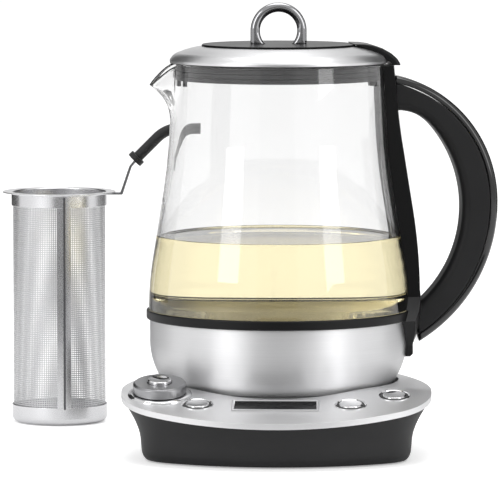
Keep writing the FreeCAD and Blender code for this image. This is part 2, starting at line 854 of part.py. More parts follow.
def make_base():
    openings = panel_openings()
    post_hole = cylinder("post_hole", "seat_hole_radius", "plate_height")
    plate_cup = cylinder("plate_cup", "seat_radius + plate_sheet", "plate_height",
                         z="seat_floor_height - plate_sheet")

    # pressed steel plate: top skin, lip turned down all round and a sunk round seat
    outer = plan_prism("plate_outer", "0", "0", "plate_height")
    skin = combine("Common", "plate_skin", outer, below_panel("panel_top", "0"))
    hollow = combine("Common", "plate_hollow",
                     plan_prism("plate_inner", "plate_sheet", "0", "plate_height"),
                     below_panel("panel_inside", "plate_sheet"))
    hollow = combine("Cut", "plate_room", hollow, plate_cup)
    under_lip = combine("Cut", "plate_under_lip", below_panel("panel_lip", "plate_lip"), plate_cup)
    seat = cylinder("seat_void", "seat_radius", "plate_height", z="seat_floor_height")
    plate = combine("Cut", "plate_blank", skin, hollow, under_lip, seat, post_hole, openings)
    keep("base_top_plate", plate)

    # moulded housing: flared wall, deck that follows the plate, open underneath
    levels = ("foot", "ankle", "waist", "shin", "knee", "rim")

    def flared(name, extra):
        body = new_body(name)
        sections = []
        for level in levels:
            sketch = new_sketch(body, name + "_" + level, "XY_Plane", "housing_%s_height" % level)
            draw_plan(sketch, "housing_%s_inset%s" % (level, extra))
            sections.append(sketch)
        last = new_sketch(body, name + "_top", "XY_Plane", "housing_top_height")
        draw_plan(last, "housing_rim_inset" + extra)
        sections.append(last)
        loft = body.newObject("PartDesign::AdditiveLoft", name + "_loft")
        loft.Profile = sections[0]
        loft.Sections = sections[1:]
        body.Tip = loft
        return body

    housing_cup = cylinder("housing_cup", "seat_radius + plate_sheet + cover_gap", "plate_height",
                           z="seat_floor_height - plate_sheet")
    deck_cup = cylinder("deck_cup", "seat_radius + plate_sheet + cover_gap + housing_deck",
                        "plate_height", z="seat_floor_height - plate_sheet - housing_deck")
    shell = combine("Common", "housing_shell", flared("housing_outer", ""),
                    below_panel("deck_top", "plate_sheet"))
    room = combine("Common", "housing_room", flared("housing_inner", " + housing_wall"),
                   below_panel("deck_bottom", "plate_sheet + housing_deck"))
    room = combine("Cut", "housing_clear", room, deck_cup)
    gland_hole = cylinder("gland_hole", "gland_radius", "tool_reach")
    gland_hole.Placement = Placement(Vector(), Rotation(Vector(1, 0, 0), -90))
    put(gland_hole, "0", "0", "gland_height")
    gland_seat = cylinder("gland_seat", "gland_flange_radius + cover_gap", "tool_reach")
    gland_seat.Placement = gland_hole.Placement
    put(gland_seat, "0", "gland_outer_y - gland_flange", "gland_height")
    housing = combine("Cut", "housing_blank", shell, room, housing_cup, post_hole, openings, gland_hole,
                      gland_seat)
    keep("base_housing", housing)

    # flat cover in the housing's open bottom, with counterbored screws
    cover = plan_prism("cover_blank", "housing_foot_inset + housing_wall + cover_gap", "cover_height",
                       "cover_thickness")
    bores = new_sketch(cover, "screw_bores", "XY_Plane", "cover_height")
    for x, y in SCREW_PLACES:
        draw_circle(bores, x, y, "screw_shank_radius + hole_clearance")
    drill = extrude(cover, bores, "cover_thickness", kind="Pocket", turned=True)
    drill.Label = "cover_bores"
    keep("base_bottom_cover", cover)


SCREW_PLACES = [
    ("screw_circle", "0"),
    ("-1*screw_circle", "0"),
    ("screw_circle", "front_foot_y + 2*front_foot_radius"),
    ("-1*screw_circle", "front_foot_y + 2*front_foot_radius"),
]


def make_feet():
    ring = new_body("foot_ring")
    revolve(ring, [
        ("foot_ring_inner", "0"),
        ("foot_ring_outer", "0"),
        ("foot_ring_outer", "cover_height"),
        ("foot_ring_inner", "cover_height"),
    ])
    keep("foot_ring", ring)

    pads = []
    for side in ("1", "-1"):
        pads.append(cylinder("front_pad_" + ("right" if side == "1" else "left"),
                             "front_foot_radius", "cover_height", side + "*front_foot_x", "front_foot_y"))
    keep("front_feet", combine("Fuse", "front_feet", *pads))

    screws = []
    for number, (x, y) in enumerate(SCREW_PLACES):
        head = cylinder("screw_head_%d" % number, "screw_radius", "screw_head", x, y,
                        "cover_height - screw_head")
        shank = cylinder("screw_shank_%d" % number, "screw_shank_radius", "screw_length", x, y,
                         "cover_height")
        screws += [head, shank]
    keep("cover_screws", combine("Fuse", "cover_screws", *screws))


def make_gland():
    gland = new_body("cord_gland")
    inside = "gland_outer_y - gland_length"
    revolve(gland, [
        ("gland_bore_radius", inside),
        ("gland_radius", inside),
        ("gland_radius", "gland_outer_y - gland_flange"),
        ("gland_flange_radius", "gland_outer_y - gland_flange"),
        ("gland_flange_radius - 0.3*gland_flange", "gland_outer_y"),
        ("gland_bore_radius", "gland_outer_y"),
    ])
    gland.Placement = Placement(Vector(0, 0, value_of("gland_height")), Rotation(Vector(1, 0, 0), -90))
    bind(gland, "Placement.Base.z", "gland_height")
    keep("cord_gland", gland)


def make_connector():
    post = new_body("power_post")
    revolve(post, [
        ("post_bore_radius", "post_bottom_height"),
        ("post_radius", "post_bottom_height"),
        ("post_radius", "seat_floor_height"),
        ("post_foot_radius", "seat_floor_height"),
        ("post_foot_radius", "post_foot_top_height - 0.5"),
        ("post_foot_radius - 0.5", "post_foot_top_height"),
        ("post_radius", "post_foot_top_height"),
        ("post_radius", "post_shoulder_height"),
        ("post_tip_radius", "post_top_height"),
        ("post_bore_radius", "post_top_height"),
    ])
    keep("power_post", post)

    pin = new_body("contact_pin")
    revolve(pin, [
        ("0", "post_bottom_height"),
        ("contact_pin_radius", "post_bottom_height"),
        ("contact_pin_radius", "contact_pin_top_height - 0.6"),
        ("contact_pin_radius - 0.6", "contact_pin_top_height"),
        ("0", "contact_pin_top_height"),
    ])
    ring = new_body("contact_ring")
    revolve(ring, [
        ("contact_ring_radius", "post_top_height"),
        ("contact_ring_radius + contact_ring_width", "post_top_height"),
        ("contact_ring_radius + contact_ring_width", "post_top_height + contact_ring_height"),
        ("contact_ring_radius", "post_top_height + contact_ring_height"),
    ])
    keep("post_contacts", combine("Fuse", "post_contacts", pin, ring))

    socket = new_body("jug_socket")
    inner = "post_radius + socket_gap"
    outer = "post_radius + socket_gap + socket_wall"
    revolve(socket, [
        ("0", "socket_cavity_top_height"),
        (inner, "socket_cavity_top_height"),
        (inner, "socket_bottom_height + 0.8"),
        (inner + " + 0.8", "socket_bottom_height"),
        (outer, "socket_bottom_height"),
        (outer, "socket_top_height"),
        ("0", "socket_top_height"),
    ])
    keep("jug_socket", socket)


# Controls

def make_knob():
    ring = new_body("knob_seat_ring")
    tube = "start_radius + start_travel_gap + knob_tube_wall + start_travel_gap"
    revolve(ring, [
        (tube, "-1*bezel_depth"),
        ("knob_ring_skirt_radius", "-1*bezel_depth"),
        ("knob_ring_skirt_radius", "0"),
        ("knob_ring_radius", "0"),
        ("knob_ring_radius", "0.4*knob_ring_height"),
        ("knob_ring_radius - 0.6*knob_ring_height", "knob_ring_height", "knob_ring_height"),
        (tube, "knob_ring_height"),
    ])
    put_on_panel(ring, "knob_x", "knob_y")
    keep("knob_seat_ring", ring)

    knob = new_body("knob_body")
    bore = "start_radius + start_travel_gap"
    revolve(knob, [
        (bore, "-1*knob_tube_depth"),
        (bore + " + knob_tube_wall", "-1*knob_tube_depth"),
        (bore + " + knob_tube_wall", "knob_bottom"),
        ("knob_radius - 0.4*knob_chamfer", "knob_bottom"),
        ("knob_radius", "knob_bottom + 0.4*knob_chamfer"),
        ("knob_radius", "knob_top - knob_chamfer"),
        ("knob_radius - knob_chamfer", "knob_top"),
        (bore, "knob_top"),
    ])
    put_on_panel(knob, "knob_x", "knob_y")
    keep("knob_body", knob)

    button = new_body("start_button")
    top = "knob_top + start_proud"
    revolve(button, [
        ("0", "-1*start_bottom"),
        ("start_radius", "-1*start_bottom"),
        ("start_radius", top + " - 0.5"),
        ("start_radius - 0.5", top),
        ("0", top + " - start_dish", "right 4*start_radius"),
    ])
    put_on_panel(button, "knob_x", "knob_y")
    keep("start_button", button)

    encoder = new_body("rotary_encoder")
    base = new_sketch(encoder, "encoder_base", "XY_Plane", "-1*board_drop + hole_clearance")
    draw_rectangle(base, "-0.5*encoder_side", "-0.5*encoder_side", "0.5*encoder_side", "0.5*encoder_side")
    extrude(encoder, base, "encoder_height")
    neck = new_sketch(encoder, "encoder_neck_plan", "XY_Plane",
                      "-1*board_drop + hole_clearance + encoder_height")
    draw_circle(neck, "0", "0", "encoder_neck_radius")
    extrude(encoder, neck, "encoder_neck")
    put_on_panel(encoder, "knob_x", "knob_y")
    keep("rotary_encoder", encoder)


def make_buttons():
    bezels = []
    switches = []
    for side in ("left", "right", "side"):
        x = side + "_button_x"
        y = side + "_button_y"
        bezel = new_body("bezel_" + side)
        revolve(bezel, [
            ("cap_radius + cap_gap", "-1*bezel_depth"),
            ("bezel_neck_radius", "-1*bezel_depth"),
            ("bezel_neck_radius", "0"),
            ("bezel_radius", "0"),
            ("bezel_radius", "0.6*bezel_proud"),
            ("bezel_radius - 0.4*bezel_proud", "bezel_proud"),
            ("cap_radius + cap_gap", "-1*bezel_dish"),
        ])
        put_on_panel(bezel, x, y)
        bezels.append(bezel)

        cap = new_body(side + "_button")
        revolve(cap, [
            ("0", "-1*cap_stem"),
            ("cap_stem_radius", "-1*cap_stem"),
            ("cap_stem_radius", "-1*cap_skirt"),
            ("cap_radius", "-1*cap_skirt"),
            ("cap_radius", "cap_proud - 0.5"),
            ("cap_radius - 0.5", "cap_proud"),
            ("0", "cap_proud - cap_dish", "right 4*cap_radius"),
        ])
        put_on_panel(cap, x, y)
        keep(side + "_button", cap)

        switch = new_body("switch_" + side)
        foot = new_sketch(switch, "switch_base_" + side, "XY_Plane", "-1*board_drop + hole_clearance")
        draw_rectangle(foot, "-0.5*switch_side", "-0.5*switch_side", "0.5*switch_side", "0.5*switch_side")
        extrude(switch, foot, "switch_height")
        stem = new_sketch(switch, "switch_stem_" + side, "XY_Plane",
                          "-1*board_drop + hole_clearance + switch_height")
        draw_circle(stem, "0", "0", "switch_stem_radius")
        extrude(switch, stem, "switch_stem")
        put_on_panel(switch, x, y)
        switches.append(switch)
    keep("button_bezels", combine("Fuse", "button_bezels", *bezels))
    keep("tact_switches", combine("Fuse", "tact_switches", *switches))


def make_display():
    bezel = new_body("lcd_bezel")
    frame = new_sketch(bezel, "lcd_frame_plan", "XY_Plane")
    draw_rectangle(frame, "-0.5*lcd_length", "-0.5*lcd_width", "0.5*lcd_length", "0.5*lcd_width")
    extrude(bezel, frame, "lcd_proud")
    skirt = new_sketch(bezel, "lcd_skirt_plan", "XY_Plane")
    draw_rectangle(skirt, "-0.5*lcd_length + lcd_skirt_inset", "-0.5*lcd_width + lcd_skirt_inset",
                   "0.5*lcd_length - lcd_skirt_inset", "0.5*lcd_width - lcd_skirt_inset")
    extrude(bezel, skirt, "bezel_depth", turned=True)
    hole = new_sketch(bezel, "lcd_window_plan", "XY_Plane")
    draw_rectangle(hole, "-0.5*lcd_length + lcd_frame", "-0.5*lcd_width + lcd_frame",
                   "0.5*lcd_length - lcd_frame", "0.5*lcd_width - lcd_frame")
    cut_through(bezel, hole, both_ways=True)
    put_on_panel(bezel, "0", "lcd_y")
    keep("lcd_bezel", bezel)

    window = new_body("lcd_window")
    pane = new_sketch(window, "lcd_pane_plan", "XY_Plane", "0.4*lcd_proud - lcd_window_thickness")
    draw_rectangle(pane, "-0.5*lcd_length + lcd_frame", "-0.5*lcd_width + lcd_frame",
                   "0.5*lcd_length - lcd_frame", "0.5*lcd_width - lcd_frame")
    extrude(window, pane, "lcd_window_thickness")
    put_on_panel(window, "0", "lcd_y")
    keep("lcd_window", window)

    module = new_body("lcd_module")
    block = new_sketch(module, "lcd_module_plan", "XY_Plane", "-1*lcd_module_depth")
    draw_rectangle(block, "-0.5*lcd_length + 2*lcd_frame", "-0.5*lcd_width + 2*lcd_frame",
                   "0.5*lcd_length - 2*lcd_frame", "0.5*lcd_width - 2*lcd_frame")
    extrude(module, block, "lcd_module_depth - lcd_window_thickness + 0.4*lcd_proud")
    put_on_panel(module, "0", "lcd_y")
    keep("lcd_module", module)


def make_boards():
    # slanted board that carries the switches, held parallel to the panel
    top = "1.03*board_drop"
    blank = combine("Common", "board_blank",
                    plan_prism("board_plan", "board_inset", "0", "plate_height"),
                    below_panel("board_top", top))
    rear = box("board_rear", "2*tool_reach", "tool_reach", "plate_height", "0",
               "board_rear_y + 0.5*tool_reach", "0")
    board = combine("Cut", "control_board", blank, below_panel("board_bottom", top + " + board_thickness"),
                    rear)
    keep("control_board", board)

    level = "cover_height + cover_thickness + board_stand"
    plate = box("power_board", "power_board_length", "power_board_width", "board_thickness", "0",
                "power_board_y", level)
    stands = []
    for x in ("0.4", "-0.4"):
        for y in ("0.35", "-0.35"):
            stands.append(cylinder("board_stand_%d" % len(stands), "screw_radius", "board_stand",
                                   x + "*power_board_length", "power_board_y + " + y + "*power_board_width",
                                   "cover_height + cover_thickness"))
    keep("power_board", combine("Fuse", "power_board", plate, *stands))
    keep("heater_relay", box("heater_relay", "relay_length", "relay_width", "relay_height",
                             "0.25*power_board_length", "power_board_y", level + " + board_thickness"))


# Jug

def glass_profile(inset, bottom, top):
    """Wall line of the jug at this inset, from the bottom up: straight, swelling, taper and neck."""
    return [
        ("glass_bottom_radius - " + inset, bottom),
        ("glass_bottom_radius - " + inset, "glass_swell_height"),
        ("shoulder_radius - " + inset, "shoulder_height", "shoulder_arc - " + inset),
        ("taper_radius - " + inset, "taper_height"),
        ("neck_radius - " + inset, "neck_height", "right neck_arc + " + inset),
        ("rim_radius - " + inset, top),
    ]


def spout_sections(body, name, inset):
    """U sections whose planes fan out round a line in front of the neck, from level to upright."""
    sections = []
    stations = [(0, "root"), (35, "middle"), (65, "throat"), (90, "tip")]
    for angle, width in stations:
        sketch = body.newObject("Sketcher::SketchObject", "%s_%s" % (name, width))
        sketch.AttachmentSupport = (origin_plane(body, "XY_Plane"), [""])
        sketch.MapMode = "FlatFace"
        centre = Vector(value_of("spout_turn_x"), 0, value_of("spout_turn_height"))
        sketch.AttachmentOffset = Placement(centre, Rotation(Vector(0, 1, 0), -angle))
        bind(sketch, "AttachmentOffset.Base.x", "spout_turn_x")
        bind(sketch, "AttachmentOffset.Base.z", "spout_turn_height")
        half = "spout_%s_width - %s" % (width, inset)
        minus = "-1*spout_%s_width + %s" % (width, inset)
        bottom = "spout_turn_radius + " + inset
        shoulder = "spout_turn_radius + spout_%s_width" % width
        draw_path(sketch, [
            ("spout_depth", minus),
            ("spout_depth", half),
            (shoulder, half),
            (bottom, "0", half),
            (shoulder, minus, half),
        ])
        sections.append(sketch)
    return sections


def make_glass():
    glass = new_body("glass_jug")
    outer = [("0", "glass_bottom_height")] + glass_profile("0", "glass_bottom_height", "rim_height") + [("0", "rim_height")]
    revolve(glass, outer, "glass_outside")
    horn = spout_sections(glass, "spout_outside", "0")
    loft = glass.newObject("PartDesign::AdditiveLoft", "spout_horn")
    loft.Profile = horn[0]
    loft.Sections = horn[1:]
    glass.Tip = loft
    hollow = [("0", "glass_bottom_height")] + glass_profile("glass_wall", "glass_bottom_height", "rim_height")
    revolve(glass, hollow + [("0", "rim_height")], "glass_inside", kind="Groove")
    throat = spout_sections(glass, "spout_inside", "glass_wall")
    channel = glass.newObject("PartDesign::SubtractiveLoft", "spout_channel")
    channel.Profile = throat[0]
    channel.Sections = throat[1:]
    glass.Tip = channel
    # the rim is level, and falls along an arc to the tip of the spout
    trim = new_sketch(glass, "rim_trim", "XZ_Plane")
    draw_path(trim, [
        ("spout_lip_x", "rim_height"),
        ("tool_reach", "rim_height"),
        ("tool_reach", "rim_height + spout_depth"),
        ("-1*tool_reach", "rim_height + spout_depth"),
        ("-1*tool_reach", "spout_tip_height"),
        ("spout_tip_x", "spout_tip_height"),
        ("spout_lip_x", "rim_height", "right spout_lip_arc"),
    ][1:])
    cut_through(glass, trim, both_ways=True)
    turn_with_jug(glass)
    keep("glass_jug", glass)


def make_bowl():
    bowl = new_body("steel_bowl")
    revolve(bowl, [
        ("bowl_hole_radius", "bowl_bottom_height"),
        ("bowl_foot_radius", "bowl_bottom_height"),
        ("bowl_radius", "bowl_belly_height", "bowl_belly_arc"),
        ("bowl_radius", "bowl_top_height"),
        ("bowl_radius - bowl_sheet", "bowl_top_height"),
        ("bowl_radius - bowl_sheet", "bowl_belly_height"),
        ("bowl_foot_radius - 0.7*bowl_sheet", "bowl_bottom_height + bowl_sheet",
         "right bowl_belly_arc - bowl_sheet"),
        ("bowl_hole_radius", "bowl_bottom_height + bowl_sheet"),
    ])
    keep("steel_bowl", bowl)

    trim = new_body("trim_ring")
    glass_side = "glass_bottom_radius + trim_gap"
    revolve(trim, [
        ("trim_inner", "bowl_top_height"),
        ("trim_radius - 0.4", "bowl_top_height"),
        ("trim_radius", "bowl_top_height + 0.4"),
        ("trim_radius", "trim_top_height - 0.6"),
        ("trim_radius - 0.5", "trim_top_height"),
        (glass_side, "trim_top_height"),
        (glass_side, "glass_bottom_height"),
        ("trim_inner", "glass_bottom_height"),
    ])
    keep("trim_ring", trim)

    pan = new_body("heater_plate")
    revolve(pan, [
        ("0", "pan_floor_height"),
        ("pan_radius", "pan_floor_height"),
        ("pan_radius", "pan_flange_height"),
        ("pan_flange_radius", "pan_flange_height"),
        ("pan_flange_radius", "pan_flange_height + pan_sheet"),
        ("pan_radius", "pan_flange_height + pan_sheet"),
        ("pan_radius", "pan_top_height"),
        ("pan_radius - pan_sheet", "pan_top_height"),
        ("pan_radius - pan_sheet", "pan_floor_height + pan_sheet"),
        ("0", "pan_floor_height + pan_sheet"),
    ])
    bore = new_sketch(pan, "pan_sensor_bore", "XY_Plane")
    draw_circle(bore, "0", "sensor_y", "sensor_radius")
    cut_through(pan, bore, turned=True)
    keep("heater_plate", pan)

    gasket = new_body("bottom_gasket")
    revolve(gasket, [
        ("pan_radius", "pan_flange_height + pan_sheet"),
        ("gasket_radius", "pan_flange_height + pan_sheet"),
        ("gasket_radius", "glass_bottom_height"),
        ("glass_bottom_radius - glass_wall - trim_gap", "glass_bottom_height"),
        ("glass_bottom_radius - glass_wall - trim_gap", "pan_top_height"),
        ("pan_radius", "pan_top_height"),
    ])
    keep("bottom_gasket", gasket)

    spreader = new_body("heat_spreader")
    revolve(spreader, [
        ("0", "pan_floor_height - spreader_thickness"),
        ("spreader_radius", "pan_floor_height - spreader_thickness"),
        ("spreader_radius", "pan_floor_height"),
        ("0", "pan_floor_height"),
    ])
    hole = new_sketch(spreader, "spreader_sensor_bore", "XY_Plane")
    draw_circle(hole, "0", "sensor_y", "sensor_radius")
    cut_through(spreader, hole, turned=True)
    keep("heat_spreader", spreader)

    element = new_body("heating_element")
    section = new_sketch(element, "element_section", "XZ_Plane")
    level = "pan_floor_height - spreader_thickness - element_radius"
    draw_circle(section, "element_circle", level, "element_radius")
    bend = element.newObject("PartDesign::Revolution", "element_loop")
    bend.Profile = section
    bend.ReferenceAxis = (section, ["V_Axis"])
    bend.Midplane = True
    bend.Angle = value_of("element_angle")
    bind(bend, "Angle", "element_angle")
    element.Tip = bend
    keep("heating_element", element)

    sensor = new_body("temperature_sensor")
    top = "pan_floor_height + pan_sheet + sensor_height"
    revolve(sensor, [
        ("0", "pan_floor_height - spreader_thickness"),
        ("sensor_radius", "pan_floor_height - spreader_thickness"),
        ("sensor_radius", top + " - 0.5*sensor_radius"),
        ("0", top, "1.25*sensor_radius"),
    ])
    keep("temperature_sensor", sensor)

    control = new_body("thermostat")
    revolve(control, [
        ("0", "thermostat_bottom_height"),
        ("thermostat_radius", "thermostat_bottom_height"),
        ("thermostat_radius", "pan_floor_height - spreader_thickness - 0.8*spreader_thickness"),
        ("0.8*thermostat_radius", "pan_floor_height - spreader_thickness"),
        ("0", "pan_floor_height - spreader_thickness"),
    ])
    keep("thermostat", control)

    cover = new_body("jug_bottom_cover")
    shelf = "bowl_bottom_height + bowl_sheet"
    revolve(cover, [
        ("jug_cover_hole", shelf),
        ("jug_foot_inner", shelf),
        ("jug_foot_inner", "jug_foot_height"),
        ("jug_foot_outer", "jug_foot_height"),
        ("jug_foot_outer", shelf),
        ("jug_cover_radius", shelf),
        ("jug_cover_radius", shelf + " + jug_cover_rim"),
        ("jug_cover_radius - jug_cover_thickness", shelf + " + jug_cover_rim"),
        ("jug_cover_radius - jug_cover_thickness", shelf + " + jug_cover_thickness"),
        ("jug_cover_hole", shelf + " + jug_cover_thickness"),
    ])
    keep("jug_bottom_cover", cover)
    turn_with_jug(bowl, trim, pan, gasket, spreader, element, control, cover)
    turn_with_jug(sensor)
    sensor.setExpression("Placement.Base.x", "-sizes.sensor_y * sin(sizes.jug_turn)")
    sensor.setExpression("Placement.Base.y", "sizes.sensor_y * cos(sizes.jug_turn)")


def make_handle():
    # strap that lies on the glass, the trim ring and the bowl, with a shield-shaped foot
    strap = new_body("handle_strap")
    lift = "-1*strap_gap"
    wall = glass_profile(lift, "trim_top_height + strap_gap", "strap_top_height")
    inside = [
        ("bowl_radius + strap_gap", "bowl_top_height - strap_gap"),
        ("trim_radius + strap_gap", "bowl_top_height - strap_gap"),
        ("trim_radius + strap_gap", "trim_top_height + strap_gap"),
    ] + wall
    outside = [
        ("strap_top_radius", "strap_top_height"),
        ("strap_upper_radius", "strap_upper_height"),
        ("strap_waist_radius", "strap_waist_height", "strap_upper_arc"),
        ("strap_middle_radius", "strap_middle_height"),
        ("strap_low_radius", "strap_low_height", "right strap_belly_arc"),
        ("strap_foot_radius", "strap_foot_height", "right strap_low_arc"),
        ("strap_foot_radius", "strap_bottom_height + 1.5"),
        ("strap_foot_radius - 1.5", "strap_bottom_height"),
    ]
    foot = [
        ("bowl_radius - bowl_sheet", "strap_bottom_height"),
        ("bowl_radius - bowl_sheet", "bowl_belly_height"),
        ("bowl_radius + strap_gap", "bowl_belly_height"),
    ]
    revolve(strap, foot + inside + outside, angle="strap_angle")
    hollow = new_sketch(strap, "bowl_relief", "XZ_Plane")
    draw_path(hollow, [
        ("0", "bowl_bottom_height"),
        ("bowl_foot_radius + strap_gap", "bowl_bottom_height"),
        ("bowl_radius + strap_gap", "bowl_belly_height", "bowl_belly_arc + strap_gap"),
        ("0", "bowl_belly_height"),
    ])
    turn_away(strap, hollow)
    mask = new_sketch(strap, "strap_mask", "YZ_Plane")
    far = "tool_reach"
    for side in ("", "-1*"):
        draw_path(mask, [
            (side + "strap_half_width", "rim_height + spout_depth"),
            (side + "strap_half_width", "shield_top_height + shield_corner"),
            (side + "shield_half_width", "shield_top_height - shield_corner"),
            (side + "shield_low_half_width", "strap_bottom_height + shield_corner"),
            (side + "shield_low_half_width - " + ("" if side == "" else "-1*") + "shield_corner",
             "strap_bottom_height - shield_corner"),
            (side + far, "strap_bottom_height - shield_corner"),
            (side + far, "rim_height + spout_depth"),
        ])
    cut_through(strap, mask, turned=True)
    keep("handle_strap", strap)

    # grip in two mouldings: the matte inner one and a glossy skin along its back
    def back_line(inset):
        return [
            ("grip_peak_x - " + inset, "grip_peak_height", "grip_lower_arc - " + inset),
            ("grip_top_x", "grip_top_height - " + inset, "grip_upper_arc - " + inset),
        ]

    inner = new_body("grip_inner")
    side_view = new_sketch(inner, "grip_side", "XZ_Plane")
    draw_path(side_view, [
        ("grip_inner_top_x", "grip_inner_top_height"),
        ("rim_radius", "grip_inner_top_height"),
        ("rim_radius", "grip_top_height"),
        ("grip_top_x", "grip_top_height"),
        ("grip_top_x", "grip_top_height - grip_skin"),
        ("grip_peak_x - grip_skin", "grip_peak_height", "right grip_upper_arc - grip_skin"),
        ("grip_low_x + 0.5*grip_skin", "grip_low_height + grip_skin", "right grip_lower_arc - grip_skin"),
        ("grip_low_x + 0.5*grip_skin", "grip_low_height"),
        ("bowl_radius", "grip_low_height"),
        ("bowl_radius", "grip_inner_low_height"),
        ("grip_inner_low_x", "grip_inner_low_height"),
        ("grip_elbow_x", "grip_elbow_height", "grip_inner_arc"),
        ("grip_inner_top_x", "grip_inner_top_height", "grip_elbow_arc"),
    ][1:])
    extrude(inner, side_view, "grip_thickness", symmetric=True)
    round_edges(inner, "grip_round", arcs_of("grip_inner_arc", "grip_elbow_arc"))
    seat = new_sketch(inner, "grip_seat", "XZ_Plane")
    draw_path(seat, [
        ("0", "strap_bottom_height"),
        ("strap_foot_radius", "strap_bottom_height"),
        ("strap_foot_radius", "strap_foot_height"),
        ("strap_low_radius", "strap_low_height", "strap_low_arc"),
        ("strap_middle_radius", "strap_middle_height", "strap_belly_arc"),
        ("strap_waist_radius", "strap_waist_height"),
        ("strap_upper_radius", "strap_upper_height", "right strap_upper_arc"),
        ("strap_top_radius", "strap_top_height"),
        ("0", "strap_top_height"),
    ])
    turn_away(inner, seat)
    keep("grip_inner", inner)

    outer = new_body("grip_outer")
    skin = new_sketch(outer, "skin_side", "XZ_Plane")
    draw_path(skin, [
        ("grip_top_x", "grip_top_height - grip_skin"),
        ("grip_top_x", "grip_top_height"),
        ("grip_peak_x", "grip_peak_height", "right grip_upper_arc"),
        ("grip_low_x + 0.5*grip_skin", "grip_low_height", "right grip_lower_arc"),
        ("grip_low_x + 0.5*grip_skin", "grip_low_height + grip_skin"),
        ("grip_peak_x - grip_skin", "grip_peak_height", "grip_lower_arc - grip_skin"),
        ("grip_top_x", "grip_top_height - grip_skin", "grip_upper_arc - grip_skin"),
    ][1:])
    extrude(outer, skin, "grip_thickness", symmetric=True)
    round_edges(outer, "grip_skin_round", arcs_of("grip_upper_arc", "grip_lower_arc"))
    keep("grip_outer", outer)
    turn_with_jug(strap, inner, outer)


# Lid

def dome_line(inset):
    """Outer line of the lid's dome from its rim to its crown, moved in by inset."""
    return [
        ("dome_radius - " + inset, "dome_bottom_height"),
        ("dome_radius - " + inset, "dome_edge_height"),
        ("dome_knee_radius - 0.5*" + inset, "dome_knee_height - 0.87*" + inset, "dome_knee_arc - " + inset),
        ("dome_crown_radius", "dome_crown_height - " + inset, "dome_crown_arc - " + inset),
    ]


def make_lid():
    dome = new_body("lid_dome")
    inner = [
        ("dome_crown_radius", "dome_crown_height - dome_sheet"),
        ("dome_knee_radius - 0.5*dome_sheet", "dome_knee_height - 0.87*dome_sheet",
         "right dome_crown_arc - dome_sheet"),
        ("dome_radius - dome_sheet", "dome_edge_height", "right dome_knee_arc - dome_sheet"),
        ("dome_radius - dome_sheet", "dome_bottom_height"),
    ]
    revolve(dome, dome_line("0") + [
        ("dome_hole_radius", "dome_crown_height"),
        ("dome_hole_radius", "dome_crown_height - dome_sheet"),
    ] + inner)
    keep("lid_dome", dome)

    disc = new_body("lid_top_disc")
    top = "dome_crown_height + disc_thickness"
    revolve(disc, [
        ("0", "dome_crown_height"),
        ("disc_radius", "dome_crown_height"),
        ("disc_radius", top + " - disc_edge"),
        ("disc_radius - disc_edge", top),
        ("0", top),
    ])
    keep("lid_top_disc", disc)

    ring = new_body("lid_ring")
    sweep(ring, [
        ("-1*ring_radius", top),
        ("-1*ring_radius", "ring_centre_height"),
        ("0", "ring_centre_height + ring_radius", "right ring_radius"),
        ("ring_radius", "ring_centre_height", "right ring_radius"),
        ("ring_radius", top),
    ], "ring_tube")
    keep("lid_ring", ring)

    nuts = []
    for side in ("1", "-1"):
        nuts.append(cylinder("ring_nut_" + ("right" if side == "1" else "left"), "ring_nut_radius",
                             "ring_nut_height", side + "*ring_radius", "0",
                             "dome_crown_height - dome_sheet - ring_nut_height"))
    fixings = combine("Fuse", "lid_ring_nuts", *nuts)
    keep("lid_ring_nuts", fixings)

    cap = new_body("lid_rear_cap")
    side_view = new_sketch(cap, "cap_side", "XZ_Plane")
    draw_path(side_view, [
        ("cap_inner_x", "cap_bottom_height"),
        ("cap_outer_x", "cap_bottom_height"),
        ("cap_outer_x", "cap_side_height"),
        ("cap_knee_x", "cap_knee_height", "cap_corner_arc"),
        ("cap_inner_x", "cap_top_height - 0.5"),
    ])
    extrude(cap, side_view, "2*cap_half_width", symmetric=True)
    under = new_sketch(cap, "cap_relief", "XZ_Plane")
    draw_path(under, dome_line("0") + [
        ("0", "dome_crown_height"),
        ("0", "cap_bottom_height - 1"),
        ("dome_radius", "cap_bottom_height - 1"),
    ])
    turn_away(cap, under)
    keep("lid_rear_cap", cap)

    collar = new_body("lid_collar")
    ribs = []
    for number in (3, 2, 1):
        low = "collar_bottom_height + %d*collar_rib_pitch" % number
        ribs += [
            ("collar_radius", low + " + 0.5*collar_rib"),
            ("collar_radius - collar_rib", low),
            ("collar_radius", low + " - 0.5*collar_rib"),
        ]
    lid_floor = "dome_bottom_height - collar_wall"
    revolve(collar, [
        ("0", lid_floor),
        ("collar_radius - collar_wall", lid_floor),
        ("collar_radius - collar_wall", "collar_bottom_height"),
        ("collar_radius", "collar_bottom_height"),
    ] + ribs[::-1] + [
        ("collar_radius", "seal_bottom_height + seal_thickness"),
        ("dome_radius - dome_sheet - trim_gap", "seal_bottom_height + seal_thickness"),
        ("dome_radius - dome_sheet - trim_gap", "collar_top_height"),
        ("0", "collar_top_height"),
    ])
    lugs = new_sketch(collar, "collar_lugs", "XY_Plane", "collar_bottom_height")
    for side in ("1", "-1"):
        outer_x = side + "*collar_radius"
        inner_x = side + "*collar_radius - " + side + "*collar_lug_depth"
        draw_rectangle(lugs, inner_x, "-0.5*collar_lug_width", outer_x + " - " + side + "*collar_rib",
                       "0.5*collar_lug_width")
    extrude(collar, lugs, "collar_lug_height", turned=True)
    keep("lid_collar", collar)

    seal = new_body("lid_seal")
    revolve(seal, [
        ("collar_radius", "seal_bottom_height"),
        ("seal_radius", "seal_bottom_height"),
        ("seal_radius", "seal_bottom_height + seal_thickness"),
        ("collar_radius", "seal_bottom_height + seal_thickness"),
    ])
    keep("lid_seal", seal)
    turn_with_jug(dome, disc, ring, fixings, cap, collar, seal)


# Strainer

